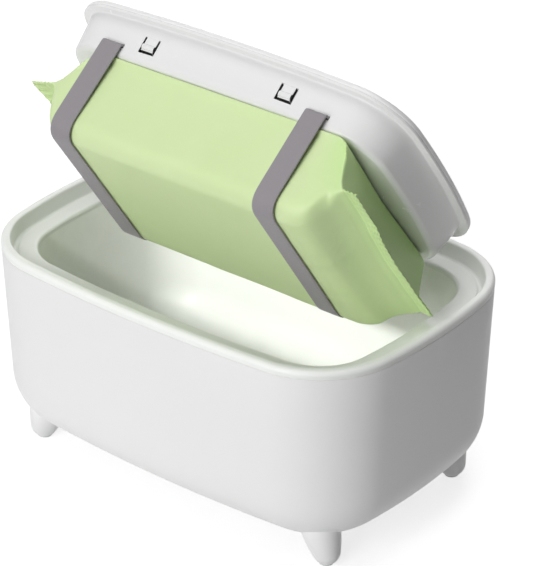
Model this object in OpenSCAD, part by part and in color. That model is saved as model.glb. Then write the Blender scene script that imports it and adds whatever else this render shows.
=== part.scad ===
/* [Body] */
// Width of the body at its rim
body_w = 240; // [210:1:270]
// Depth of the body at its rim
body_d = 161.7; // [145:0.5:180]
// Height of the body without its feet
body_h = 103.8; // [95:0.5:125]
// Radius of the bowed front and back walls
long_r = 838; // [700:1:1000]
// Radius of the bowed end walls
short_r = 308; // [270:1:360]
// Radius of the upright corners
corner_r = 46.2; // [43:0.1:52]
// How far the walls draw in from the rim to the bottom
body_taper = 4.2; // [2:0.1:6]
// Radius of the rounded bottom edge
bottom_r = 30; // [22:0.5:32]
// Thickness of the outer shell
shell_wall = 2.4; // [1.8:0.1:3]

/* [Rim] */
// Distance from the rim's top to the seam with the shell
seam_drop = 4.2; // [3.5:0.1:5]
// Width of the outer lip
lip_w = 5.6; // [5:0.1:7]
// Radius of the lip's outer edge
lip_outer_r = 2.4; // [1.5:0.1:2.8]
// Radius of the lip's inner edge
lip_inner_r = 1.4; // [1:0.1:2]
// Distance from the rim's top down to the ledge
ledge_drop = 7.1; // [6.5:0.1:9]
// Inset of the foot of the wall between lip and ledge
groove_in = 8.6; // [8:0.1:9.5]
// Radius at the foot of that wall
groove_r = 2.2; // [1.5:0.1:2.6]
// Inset of the mouth of the tub
mouth_in = 18.6; // [18:0.1:20]
// Radius of the bead round the mouth
bead_r = 0.6; // [0.4:0.1:0.8]
// Thickness of the ledge
rim_wall = 2.2; // [1.8:0.1:2.6]
// Length of the skirt inside the shell
skirt_h = 8; // [6:0.5:10]
// Thickness of the skirt
skirt_t = 1.8; // [1.4:0.1:2.2]

/* [Tub] */
// Thickness of the tub
tub_wall = 2; // [1.5:0.1:2.5]
// Width of the tub's flange under the ledge
tub_flange_w = 5; // [4:0.1:6]
// How far the tub's walls draw in towards its floor
tub_draft = 3; // [2:0.1:4]
// Gap between the tub and the screws of the feet
tub_gap = 0.8; // [0.5:0.1:3]
// Radius round the tub's floor
tub_r = 17; // [12:0.5:18]
// Thickness of the insulation foam
foam_t = 4; // [3:0.1:5]
// Gap between the foam and the power inlet below it
foam_gap = 2.5; // [1:0.5:10]

/* [Feet] */
// Height of the feet below the body
foot_h = 12.4; // [10:0.1:14]
// Distance of a foot's tip from the centre of the body's corner
foot_out = 28.4; // [26:0.1:30]
// Direction from that centre to the foot, seen from above
foot_turn = 43.5; // [35:0.5:55]
// Radius of a foot's rounded tip
foot_tip_r = 7; // [6.4:0.1:7.4]
// Angle at which a foot widens upwards
foot_flare = 16.5; // [12:0.5:18]
// Sideways splay of a foot
foot_lean = 17; // [12:0.5:18]
// Radius of the foot's pad
pad_r = 3.6; // [3:0.1:4]
// Thickness of the foot's pad
pad_h = 1; // [0.8:0.1:1.5]
// Radius of the peg that carries a foot
peg_r = 4; // [3.5:0.1:5]
// Radius of the shell's boss for the peg
boss_r = 7.5; // [7:0.1:9]
// Height of that boss above the body's bottom
boss_h = 15; // [13:0.5:16]

/* [Hinge] */
// Opening angle at which the lid stands
lid_open = 55.65; // [0:0.05:90]
// Distance of the hinge axis inside the body's back
hinge_in = 3.85; // [3.8:0.05:5]
// Height of the hinge axis above the rim
hinge_rise = 8; // [7:0.1:9]
// Radius of the hinge knuckles
knuckle_r = 3.8; // [3.4:0.1:3.8]
// Distance of each hinge from the middle
hinge_x = 48; // [40:1:52]
// Width of a lid arm
arm_w = 12; // [8:0.5:16]
// Thickness of a cheek on the rim
cheek_t = 4; // [3:0.1:5]
// Thickness of a friction washer
washer_t = 0.6; // [0.4:0.1:1]
// Radius of the hinge pins
pin_r = 1.5; // [1.2:0.1:2]

/* [Lid] */
// Inset of the lid's edge from the body's outline
lid_in = 15.4; // [15:0.1:16]
// Height of the lid's edge above the ledge
lid_edge_h = 5.6; // [5:0.1:7]
// Radius of the lid's upper edge
lid_edge_r = 2.6; // [2:0.1:3]
// Rise of the lid's crown above its edge
crown_h = 2.9; // [2:0.1:5]
// Width of the sloping band round the crown
crown_w = 24; // [20:0.5:25]
// Thickness of the lid's cover
lid_wall = 2; // [1.6:0.1:2.4]
// Thickness of the tray's flange
flange_t = 1.6; // [1.2:0.1:1.8]
// Step in from the lid's edge to the plug
plug_step = 4.5; // [4.2:0.1:5]
// Depth of the plug below the ledge
plug_depth = 19.4; // [18:0.1:22]
// How far the plug's wall draws in
plug_taper = 2.3; // [2.1:0.1:3]
// Radius of the plug's lower edge
plug_r = 3.1; // [2.5:0.1:4]
// Thickness of the tray
tray_wall = 2; // [1.6:0.1:2.4]

/* [Snap tabs] */
// Distance of each tab from the strap beside it
tab_gap = 20.5; // [16:0.5:24]
// Width of a tab
tab_w = 7.2; // [6:0.1:10]
// Depth of a tab's top below the ledge
tab_top = 5.4; // [4.5:0.1:6]
// Length of a tab
tab_h = 7.1; // [6:0.1:9.5]
// Width of the slot round a tab
tab_slot = 0.8; // [0.5:0.1:1.2]
// Height of the hook on a tab
hook_h = 0.4; // [0.3:0.1:0.5]

/* [Straps] */
// Distance of each strap inside the body's end
strap_in = 57.5; // [55:0.5:62]
// Width of a strap
strap_w = 12.2; // [10:0.1:14]
// Thickness of a strap
strap_t = 1; // [0.8:0.1:1.2]
// Depth of the strap slots below the ledge
strap_slot_n = 13.3; // [13:0.1:14]
// Radius of the bars that hold the straps
bar_r = 1.5; // [1.2:0.1:1.8]
// Distance of the bars inside the plug's wall
bar_in = 3.5; // [3.2:0.1:5]

/* [Wipes pack] */
// Room between the filled pack and the body's ends
pack_end = 34; // [32:0.5:40]
// Distance of the pack's centre from the lid's, sideways
pack_x = 2.5; // [0:0.5:4]
// Room between the pack and the body's front and back
pack_side = 31.85; // [30:0.05:36]
// Height of the pack
pack_h = 46; // [40:0.5:48]
// Length of the left end seal
fin_left = 11.5; // [10:0.5:20]
// Length of the right end seal
fin_right = 14; // [10:0.5:20]
// Thickness of an end seal
fin_t = 1.2; // [0.8:0.1:2]
// Radius of the pack's long edges
pack_r = 9; // [6:0.5:12]

/* [Heater] */
// Width of the heating plate's face
plate_w = 120; // [110:1:124]
// Depth of the heating plate's face
plate_d = 60; // [56:1:64]
// Width of the plate's flange on the tray
plate_flange_w = 4.5; // [4:0.1:6]
// Thickness of the plate's flange
plate_t = 1.2; // [1:0.1:1.6]
// Thickness of the heating film
film_t = 0.5; // [0.3:0.1:0.8]
// Thickness of the insulation pad
pad_t = 4; // [3:0.1:5]
// Radius of the thermostat
thermostat_r = 5; // [4:0.1:6]
// Radius of the thermal fuse
fuse_r = 1.6; // [1.2:0.1:1.8]
// Length of the thermal fuse
fuse_l = 12; // [10:0.5:14]

/* [Port and cap] */
// Width of the dispensing port
port_w = 60; // [50:1:64]
// Depth of the dispensing port
port_d = 26; // [20:1:30]
// Distance of the port behind the lid's middle
port_y = -6; // [-10:0.5:0]
// Thickness of the bezel's walls
bezel_wall = 1.6; // [1.2:0.1:2]
// Width of the cap
cap_w = 86; // [80:1:90]
// Depth of the cap
cap_d = 48; // [44:1:50]
// Thickness of the cap
cap_t = 3; // [2.5:0.1:3.2]
// Radius of the cap's corners
cap_r = 8; // [5:0.5:12]
// Radius of the cap's barrel
barrel_r = 1.8; // [1.7:0.1:1.9]
// Radius of the cap's pin
cap_pin_r = 0.9; // [0.8:0.1:1]
// Width of the seal round the port
seal_w = 3; // [2:0.1:4]
// Width of the latch
latch_w = 16; // [12:0.5:20]
// Depth of the latch
latch_d = 6; // [5:0.1:7]
// Travel of the latch, and how far it stands above the lid
latch_travel = 1.2; // [1:0.1:1.4]

/* [Controls] */
// How far the controls stand inwards from midway between the port's frame and the lid's end
panel_in = 12; // [8:0.5:14]
// Radius of the buttons
button_r = 6; // [5:0.1:7]
// Distance from the display to each button, middle to middle
button_gap = 24; // [22:0.5:26]
// How far a button stands above the lid
button_rise = 0.8; // [0.5:0.1:1]
// Travel of the buttons
button_travel = 1; // [0.8:0.1:1.1]
// Width of the display window
lens_w = 16; // [14:0.5:18]
// Length of the display window
lens_d = 26; // [22:0.5:28]
// Thickness of the display window
lens_t = 1.2; // [1:0.1:1.4]
// Thickness of the circuit board
board_t = 1.6; // [1.2:0.1:2]
// Width of the circuit board
board_w = 26; // [24:0.5:28]
// Gap between the circuit board and the lid's screw bosses
board_gap = 3; // [2:0.1:6]

/* [Power] */
// Height of the inlet above the body's bottom
inlet_z = 42; // [36:0.5:60]
// Radius of the inlet's nose
inlet_r = 5; // [4:0.1:6]
// Radius of the inlet's bore
inlet_bore_r = 2.8; // [2.5:0.05:3]
// Depth of the inlet's bore
inlet_bore_h = 9; // [8:0.1:10]
// Radius of a lead
lead_r = 1.4; // [1:0.1:1.6]

/* [Hidden] */

$fn = 96;
long_fn = 720;
// Steps along each long, short and corner arc of the outline, and round small and large edges
long_steps = 6;
short_steps = 4;
corner_steps = 8;
edge_steps = 4;
round_steps = 7;

// General clearances, and the overrun of every cut
gap = 0.3;
slip = 0.05;
over = 1;

// Least corner radius left where a wall runs into its floor
least_r = 1.6;

body_z = foot_h;
rim_z = foot_h + body_h;
ledge_z = rim_z - ledge_drop;
hinge_y = body_d / 2 - hinge_in;
hinge_z = rim_z + hinge_rise;
strap_x = body_w / 2 - strap_in;
tab_x = strap_x - tab_gap;
pack_w = body_w - 2 * pack_end;
pack_d = body_d - 2 * pack_side;

// Centres of the arcs of the outline
long_c = [0, body_d / 2 - long_r];
short_c = [body_w / 2 - short_r, 0];
arm_long = long_r - corner_r;
arm_short = short_r - corner_r;
span = norm(short_c - long_c);
along = (arm_long ^ 2 - arm_short ^ 2 + span ^ 2) / (2 * span);
aside = sqrt(arm_long ^ 2 - along ^ 2);
aim = (short_c - long_c) / span;
corner_c = long_c + along * aim + aside * [aim.y, -aim.x];
long_a = atan2(corner_c.y - long_c.y, corner_c.x);
short_a = atan2(corner_c.y, corner_c.x - short_c.x);

function arc(c, r, a0, a1, steps) =
    [for (i = [0:steps]) let (a = a0 + (a1 - a0) * i / steps) c + r * [cos(a), sin(a)]];

// The eight arcs round the outline, and the centre, radius and angle of each of its corners
arcs = [
    [short_c, short_r, -short_a, short_a, short_steps],
    [corner_c, corner_r, short_a, long_a, corner_steps],
    [long_c, long_r, long_a, 180 - long_a, long_steps],
    [[-corner_c.x, corner_c.y], corner_r, 180 - long_a, 180 - short_a, corner_steps],
    [-short_c, short_r, 180 - short_a, 180 + short_a, short_steps],
    [-corner_c, corner_r, 180 + short_a, 180 + long_a, corner_steps],
    [-long_c, long_r, 180 + long_a, 360 - long_a, long_steps],
    [[corner_c.x, -corner_c.y], corner_r, 360 - long_a, 360 - short_a, corner_steps]];
stations = [for (a = arcs, i = [0:a[4] - 1]) [a[0], a[1], a[2] + (a[3] - a[2]) * i / a[4]]];
count = len(stations);

function level(p) = [for (s = stations)
    let (q = s[0] + (s[1] - p[0]) * [cos(s[2]), sin(s[2])]) [q.x, q.y, p[1]]];
function walls(k, rings) = [for (i = [0:k - 1], j = [0:count - 1])
    let (a = i * count, b = (i + 1) % rings * count, n = (j + 1) % count) [a + j, a + n, b + n, b + j]];

// A closed frame: its section, in insets and heights, runs down the outside and up the inside
module hoop(points) {
    polyhedron([for (p = points) each level(p)], walls(len(points), len(points)));
}

// A shell with a floor: its section runs from the floor up the inside and down the outside
module bowl(points) {
    last = (len(points) - 1) * count;
    polyhedron([for (p = points) each level(p)], concat(
        walls(len(points) - 1, len(points)),
        [[for (j = [count - 1:-1:0]) j], [for (j = [0:count - 1]) last + j]]));
}

// Depth of the outline at a distance from the middle, on its long arc
function long_y(inset, x) = long_c.y + sqrt((long_r - inset) ^ 2 - x ^ 2);

module arc_wall(c, r, a0, a1, points) {
    translate([c.x, c.y, 0])
        rotate([0, 0, a0])
            rotate_extrude(angle = a1 - a0)
                polygon([for (p = points) [r - p[0], p[1]]]);
}

function round_rect(w, d, r) = [for (q = [0:3]) let (s = [[1, 1], [-1, 1], [-1, -1], [1, -1]][q])
    each arc([s.x * (w / 2 - r), s.y * (d / 2 - r)], r, 90 * q, 90 * q + 90, edge_steps)];

module block(w, d, r, low, high) {
    translate([0, 0, low])
        linear_extrude(high - low)
            polygon(round_rect(w, d, r));
}

module disc(r, low, high) {
    translate([0, 0, low])
        cylinder(r = r, h = high - low);
}

// A side-on outline, in depth and height, of a given width
module profile(points, x, w) {
    translate([x - w / 2, 0, 0])
        rotate([90, 0, 90])
            linear_extrude(w)
                polygon(points);
}

module bar_x(r, x, w, y, z) {
    translate([x - w / 2, y, z])
        rotate([0, 90, 0])
            cylinder(r = r, h = w);
}

// Places a piece of the closed lid, measured up from the ledge, on the open lid
module on_lid() {
    translate([0, hinge_y, hinge_z])
        rotate([-lid_open, 0, 0])
            translate([0, -hinge_y, ledge_z - hinge_z])
                children();
}

// Outer shell
function drawn_in(z) = body_taper * (body_h - z) / body_h;
shell_round_in = drawn_in(bottom_r) + bottom_r;
shell_top = body_h - seam_drop;

module shell_bowl() {
    bowl(concat(
        arc([shell_round_in, bottom_r], bottom_r - shell_wall, 270, 180, round_steps),
        [[drawn_in(shell_top) + shell_wall, shell_top], [drawn_in(shell_top), shell_top]],
        arc([shell_round_in, bottom_r], bottom_r, 180, 270, round_steps)));
}

// The solid corner that the bosses and feet are fitted to, at a depth below its surface
module corner_solid(sx, sy, deep) {
    mirror([sx < 0 ? 1 : 0, 0, 0])
        mirror([0, sy < 0 ? 1 : 0, 0])
            arc_wall(corner_c, corner_r, short_a, long_a, concat(
                [[drawn_in(shell_top) + deep, shell_top]],
                arc([shell_round_in, bottom_r], bottom_r - deep, 180, 270, 2 * round_steps),
                [[corner_r, deep], [corner_r, shell_top]]));
}

// A foot's peg stands where its cone meets the body
foot_x = corner_c.x + foot_out * cos(foot_turn);
foot_y = corner_c.y + foot_out * sin(foot_turn);
peg_x = foot_x - foot_h * tan(foot_lean);
inlet_nose_y = body_d / 2 - drawn_in(inlet_z);
inlet_flange_t = 1.5;
inlet_body_w = 14;
inlet_body_h = 12;
inlet_body_d = 11;

module outer_shell() {
    color([0.93, 0.93, 0.92])
        translate([0, 0, body_z])
            difference() {
                union() {
                    shell_bowl();
                    for (sx = [-1, 1], sy = [-1, 1])
                        intersection() {
                            translate([sx * peg_x, sy * foot_y, 0])
                                cylinder(r = boss_r, h = boss_h);
                            corner_solid(sx, sy, shell_wall / 2);
                        }
                }
                for (sx = [-1, 1], sy = [-1, 1])
                    translate([sx * peg_x, sy * foot_y, -over])
                        cylinder(r = peg_r + gap, h = boss_h + 2 * over);
                translate([0, inlet_nose_y - shell_wall - over, inlet_z])
                    rotate([-90, 0, 0])
                        cylinder(r = inlet_r + gap, h = shell_wall + 2 * over);
            }
}

// Rim frame, in insets and heights from the rim's top
skirt_in = drawn_in(shell_top - skirt_h) + shell_wall + slip;

module rim_hoop() {
    hoop(concat(
        [[skirt_in, -seam_drop], [skirt_in, -seam_drop - skirt_h],
            [skirt_in + skirt_t, -seam_drop - skirt_h],
            [skirt_in + skirt_t, -ledge_drop - rim_wall],
            [mouth_in, -ledge_drop - rim_wall]],
        arc([mouth_in - bead_r, -ledge_drop], bead_r, 0, 180, edge_steps),
        arc([groove_in + groove_r, groove_r - ledge_drop], groove_r, 270, 180, edge_steps),
        arc([lip_w - lip_inner_r, -lip_inner_r], lip_inner_r, 0, 90, edge_steps),
        arc([lip_outer_r, -lip_outer_r], lip_outer_r, 90, 180, edge_steps),
        [[drawn_in(shell_top), -seam_drop]]));
}

// Side view of a cheek, measured from the hinge axis
cheek_front = hinge_y - (body_d / 2 - groove_in);
cheek_points = [[-cheek_front, -hinge_rise - seam_drop], [knuckle_r, -hinge_rise - lip_outer_r],
    [knuckle_r, 0], [-knuckle_r, 0], [-cheek_front, -hinge_rise]];
cheek_off = arm_w / 2 + washer_t + 2 * slip + cheek_t / 2;

module rim_frame() {
    color([0.95, 0.95, 0.94])
        difference() {
            union() {
                translate([0, 0, rim_z])
                    rim_hoop();
                for (s = [-1, 1], c = [-1, 1])
                    translate([0, hinge_y, hinge_z]) {
                        profile(cheek_points, s * hinge_x + c * cheek_off, cheek_t);
                        bar_x(knuckle_r, s * hinge_x + c * cheek_off, cheek_t, 0, 0);
                    }
            }
            for (s = [-1, 1])
                bar_x(pin_r, s * hinge_x, 2 * (cheek_off + cheek_t), hinge_y, hinge_z);
        }
}

module hinge_pin(s) {
    color([0.75, 0.76, 0.78])
        bar_x(pin_r, s * hinge_x, 2 * cheek_off + cheek_t, hinge_y, hinge_z);
}

module hinge_pin_left() {
    hinge_pin(-1);
}

module hinge_pin_right() {
    hinge_pin(1);
}

module hinge_washers() {
    color([0.8, 0.8, 0.82])
        for (s = [-1, 1], c = [-1, 1])
            difference() {
                bar_x(knuckle_r - gap, s * hinge_x + c * (arm_w + washer_t + 2 * slip) / 2, washer_t,
                    hinge_y, hinge_z);
                bar_x(pin_r + slip, s * hinge_x + c * (arm_w + washer_t) / 2, 2 * washer_t,
                    hinge_y, hinge_z);
            }
}

// Screws up into the feet
foot_screw_r = 1.5;
foot_screw_head_r = 6;
foot_screw_head_h = 2;
foot_screw_l = 10;

// Inner tub, in insets and heights from the rim's top
tub_top = -ledge_drop - rim_wall;
tub_depth = body_h - boss_h - foot_screw_head_h - tub_gap - tub_wall;
tub_floor_r = min(tub_r, corner_r - mouth_in - tub_draft - least_r);
tub_round_in = mouth_in + tub_draft + tub_floor_r;

module inner_tub() {
    color([0.93, 0.94, 0.92])
        translate([0, 0, rim_z]) {
            bowl(concat(
                arc([tub_round_in, tub_floor_r - tub_depth], tub_floor_r, 270, 180, round_steps),
                [[mouth_in, tub_top], [mouth_in - tub_wall - tub_flange_w, tub_top],
                    [mouth_in - tub_wall - tub_flange_w, tub_top - tub_wall],
                    [mouth_in - tub_wall, tub_top - tub_wall]],
                arc([tub_round_in, tub_floor_r - tub_depth], tub_floor_r + tub_wall, 180, 270,
                    round_steps)));
        }
}

// The foam hangs from the tub's flange and leans with the tub's wall
foam_top = tub_top - tub_wall;
foam_h = body_h + foam_top - inlet_z - inlet_body_h / 2 - foam_gap;
foam_in = mouth_in - tub_wall - gap;
foam_lean = tub_draft * foam_h / (tub_depth + tub_top - tub_floor_r);

module tub_foam() {
    color([0.25, 0.25, 0.27])
        translate([0, 0, rim_z])
            hoop([[foam_in - foam_t, foam_top], [foam_in + foam_lean - foam_t, foam_top - foam_h],
                [foam_in + foam_lean, foam_top - foam_h], [foam_in, foam_top]]);
}

// Feet
foot_len = foot_h + boss_h;
foot_top_z = body_z + boss_h;
tip_cut = foot_tip_r - sqrt(foot_tip_r ^ 2 - (pad_r + gap) ^ 2);
tip_z = pad_h + foot_tip_r - tip_cut;

// The cone of a foot, round its tip's centre
module foot_cone() {
    rotate_extrude()
        polygon(concat([[0, -foot_tip_r]], arc([0, 0], foot_tip_r, -78, -foot_flare, round_steps),
            [[foot_tip_r / cos(foot_flare) + foot_len * tan(foot_flare), foot_len], [0, foot_len]]));
}

module foot(sx, sy) {
    color([0.92, 0.92, 0.91])
        difference() {
            union() {
                difference() {
                    intersection() {
                        translate([sx * foot_x, sy * foot_y, tip_z])
                            rotate([0, -sx * foot_lean, 0])
                                foot_cone();
                        translate([sx * peg_x, sy * foot_y, pad_h])
                            cylinder(r = 2 * foot_tip_r, h = foot_len);
                    }
                    translate([0, 0, body_z])
                        corner_solid(sx, sy, 0);
                }
                translate([sx * peg_x, sy * foot_y, body_z])
                    cylinder(r = peg_r, h = boss_h);
            }
            translate([sx * peg_x, sy * foot_y, foot_top_z - foot_screw_l])
                cylinder(r = foot_screw_r, h = foot_screw_l + over);
        }
}

module foot_front_left() {
    foot(-1, -1);
}

module foot_front_right() {
    foot(1, -1);
}

module foot_back_left() {
    foot(-1, 1);
}

module foot_back_right() {
    foot(1, 1);
}

module foot_pads() {
    color([0.85, 0.86, 0.86])
        for (sx = [-1, 1], sy = [-1, 1])
            translate([sx * foot_x, sy * foot_y, 0])
                cylinder(r = pad_r, h = pad_h);
}

// A screw that points down from the underside of its head
module screw(shank_r, shank_l, head_r, head_h) {
    difference() {
        union() {
            disc(head_r, 0, head_h);
            disc(shank_r, -shank_l, head_h / 2);
        }
        translate([0, 0, head_h / 2])
            cylinder(r = shank_r, h = head_h, $fn = 6);
    }
}

module foot_screws() {
    color([0.7, 0.71, 0.73])
        for (sx = [-1, 1], sy = [-1, 1])
            translate([sx * peg_x, sy * foot_y, foot_top_z])
                screw(foot_screw_r, foot_screw_l - over, foot_screw_head_r, foot_screw_head_h);
}

// Power inlet in the back of the shell, and the lead up to the left hinge
module power_inlet() {
    color([0.12, 0.12, 0.13])
        translate([0, inlet_nose_y, body_z + inlet_z])
            rotate([90, 0, 0])
                difference() {
                    union() {
                        disc(inlet_r, 0, shell_wall + inlet_flange_t);
                        block(inlet_body_w, inlet_body_h, inlet_flange_t, shell_wall + 2 * gap,
                            shell_wall + inlet_body_d);
                    }
                    disc(inlet_bore_r, -over, inlet_bore_h);
                }
}

// A tube along a route, as rings of corners square to it
lead_sides = 10;
off_axis = [0.36, 0.48, 0.8];

module tube(route, r) {
    k = len(route);
    m = lead_sides;
    points = [for (i = [0:k - 1]) let (
        d = route[min(i + 1, k - 1)] - route[max(i - 1, 0)],
        u = cross(d, off_axis) / norm(cross(d, off_axis)), v = cross(d, u) / norm(d))
        each [for (j = [0:m - 1]) route[i] + r * (cos(360 * j / m) * u + sin(360 * j / m) * v)]];
    polyhedron(points, concat(
        [for (i = [0:k - 2], j = [0:m - 1]) let (n = (j + 1) % m)
            each [[i * m + j, (i + 1) * m + n, i * m + n], [i * m + j, (i + 1) * m + j, (i + 1) * m + n]]],
        [[for (j = [0:m - 1]) j], [for (j = [m - 1:-1:0]) (k - 1) * m + j]]));
}

// A rounded turn at b, on the way from a to c
function bend(a, b, c, r) = let (p = b + r * (a - b) / norm(a - b), q = b + r * (c - b) / norm(c - b))
    [for (i = [0:edge_steps]) let (t = i / edge_steps)
        p * (1 - t) ^ 2 + 2 * b * t * (1 - t) + q * t ^ 2];
function eased(p, r) = [p[0], for (i = [1:len(p) - 2]) each bend(p[i - 1], p[i], p[i + 1], r),
    p[len(p) - 1]];

lead_back = long_y(skirt_in + skirt_t + lead_r + gap, hinge_x);
lead_side = inlet_body_w;
base_lead_points = [[-inlet_body_w / 2, lead_back, body_z + inlet_z],
    [-inlet_body_w / 2 - lead_side, lead_back, body_z + inlet_z],
    [-hinge_x, lead_back, (body_z + inlet_z + ledge_z) / 2],
    [-hinge_x, lead_back, ledge_z - rim_wall]];

module base_lead() {
    color([0.15, 0.15, 0.16])
        tube(eased(base_lead_points, 4 * lead_r), lead_r);
}

// Insets of the plug that the lid drops into the tub
plug_in = lid_in + plug_step;
function plug_at(n) = plug_in + plug_taper * n / plug_depth;
plug_round_in = plug_at(plug_depth) + plug_r;

// Lid cover, in insets and heights from the ledge
cover_low = bead_r + gap + flange_t;
crown_run = min(crown_w, corner_r - lid_in - lid_edge_r - least_r);
crown_top = lid_edge_h + crown_h;
function crown(drop) = [for (i = [0:round_steps]) let (t = i / round_steps)
    [lid_in + lid_edge_r + t * crown_run, lid_edge_h + crown_h * (1 - (1 - t) ^ 2) - drop]];
function back(points) = [for (i = [len(points) - 1:-1:0]) points[i]];

lid_screw_turn = 79;
lid_screw_r = 1.2;
lid_screw_l = 8;
lid_screw_head_r = 2.6;
lid_screw_head_h = 1.4;
lid_boss_r = 3;
lid_boss_gap = 2;
lid_screw_out = corner_r - plug_round_in - lid_boss_r - lid_boss_gap;
lid_screw_x = corner_c.x + lid_screw_out * cos(lid_screw_turn);
lid_screw_y = corner_c.y + lid_screw_out * sin(lid_screw_turn);
lid_screw_spots = [for (sx = [-1, 1], sy = [-1, 1]) [sx * lid_screw_x, sy * lid_screw_y]];

// Bezel, cap and latch, from front to back
cap_front = port_y - cap_d / 2;
cap_axis_y = port_y + cap_d / 2;
cap_neck = cap_axis_y - cap_r;
tongue_w = cap_w - 2 * cap_r;
cap_pin_l = tongue_w + cap_r;
pocket_back = cap_axis_y + barrel_r + 3 * gap;
pocket_front = cap_front - gap;
latch_y = pocket_front - bezel_wall - gap - latch_d / 2;
latch_flange = 1;
bezel_front = latch_y - latch_d / 2 - gap - latch_flange - bezel_wall;
bezel_back = pocket_back + bezel_wall;
bezel_w = cap_w + 2 * gap + 2 * bezel_wall;
bezel_d = bezel_back - bezel_front;
bezel_y = (bezel_back + bezel_front) / 2;
bezel_r = cap_r + bezel_wall;
bezel_lip = 2.5;
cap_top = crown_top;
cap_low = cap_top - cap_t;
seal_t = 0.7;
pocket_floor = cap_low - seal_t - gap;
bezel_low = pocket_floor - bezel_wall;
cap_axis_n = cap_top - barrel_r;

// Board behind the controls
panel_x = (bezel_w / 2 + bezel_lip + body_w / 2 - lid_in) / 2 - panel_in;
board_y = port_y;
board_d = 2 * (lid_screw_y + board_y - lid_boss_r - board_gap);
post_r = 2;
post_x = board_w / 2 - post_r;
post_y = board_d / 2 - post_r;
board_screw_r = 0.8;
board_screw_head_r = 1.6;
board_screw_head_h = 1;
board_screw_l = 4;
board_spots = [for (sx = [-1, 1], sy = [-1, 1]) [panel_x + sx * post_x, board_y + sy * post_y]];

tray_floor = tray_wall - plug_depth;
plate_top = tray_floor + plate_t;
film_top = plate_top + film_t;
board_top = 0;
cover_under = crown_top - lid_wall;
lens_side = 1;

module lid_cover() {
    color([0.95, 0.95, 0.94])
        on_lid()
            difference() {
                union() {
                    bowl(concat(
                        back(crown(0)),
                        arc([lid_in + lid_edge_r, lid_edge_h - lid_edge_r], lid_edge_r,
                            90 + 90 / edge_steps, 180, edge_steps - 1),
                        [[lid_in, cover_low], [lid_in + lid_wall, cover_low]],
                        crown(lid_wall)));
                    for (p = lid_screw_spots)
                        translate([p.x, p.y, 0])
                            disc(lid_boss_r, tray_floor, cover_under + lid_wall / 4);
                    for (p = board_spots)
                        translate([p.x, p.y, 0])
                            disc(post_r, board_top, cover_under + lid_wall / 2);
                }
                translate([0, bezel_y, 0])
                    block(bezel_w + 2 * slip, bezel_d + 2 * slip, bezel_r, bezel_low, crown_top + over);
                for (s = [-1, 1])
                    translate([panel_x, board_y + s * button_gap, 0])
                        disc(button_r + gap, cover_under - over, crown_top + over);
                translate([panel_x, board_y, 0]) {
                    block(lens_w + 2 * slip, lens_d + 2 * slip, lens_side, crown_top - lens_t,
                        crown_top + over);
                    block(lens_w - 2 * lens_side, lens_d - 2 * lens_side, lens_side, cover_under - over,
                        crown_top + over);
                }
                for (p = lid_screw_spots)
                    translate([p.x, p.y, 0])
                        disc(lid_screw_r, tray_floor - over, tray_floor + lid_screw_l);
                for (p = board_spots)
                    translate([p.x, p.y, 0])
                        disc(board_screw_r, board_top - over, board_top + board_screw_l);
            }
}

// Lid tray: the plug that drops into the tub, its flange and the two hinge arms
arm_low = cover_low - flange_t;
arm_back = hinge_y - (body_d / 2 - lid_in) - gap;
axis_n = hinge_z - ledge_z;

arm_slope = atan2(axis_n - arm_low, arm_back);

// Side view of an arm, in depth and height from the ledge
arm_points = [[hinge_y - arm_back - plug_step, arm_low], [hinge_y - arm_back + flange_t, arm_low],
    [hinge_y + knuckle_r * sin(arm_slope), axis_n - knuckle_r * cos(arm_slope)],
    [hinge_y - knuckle_r * cos(arm_slope), axis_n + knuckle_r * sin(arm_slope)],
    [hinge_y - arm_back, lid_edge_h],
    [hinge_y - arm_back, cover_low], [hinge_y - arm_back - plug_step, cover_low]];

cheek_in_t = 1.6;
cheek_in_off = strap_w / 2 + gap + cheek_in_t / 2;
cheek_in_rim = 1.5;
cheek_in_r = bar_r + cheek_in_rim;
slot_h = strap_t + 2 * gap;
bar_n = -strap_slot_n + bar_r + slip + strap_t / 2;
strap_wall_y = long_y(plug_at(strap_slot_n) + tray_wall, strap_x);
bar_y = strap_wall_y - bar_in;

// Screws that hold the heating plate to the tray, and the depth of their holes
plate_screw_r = 1;
plate_screw_head_r = 2;
plate_screw_head_h = 1.2;
plate_flange_x = plate_w / 2 + plate_flange_w / 2;
plate_screw_spots = [for (sx = [-1, 1], s = [-1, 0, 1])
    [sx * plate_flange_x, port_y + s * plate_d / 3]];
plate_hole_h = 1.2;

// A stretch of the front wall of the plug, by its distance from the middle
module front_piece(x, w, points) {
    a = 270 + asin(x / (long_r - plug_in));
    half = asin(w / 2 / (long_r - plug_in));
    arc_wall([0, -long_c.y], long_r, a - half, a + half, points, $fn = long_fn);
}

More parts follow.
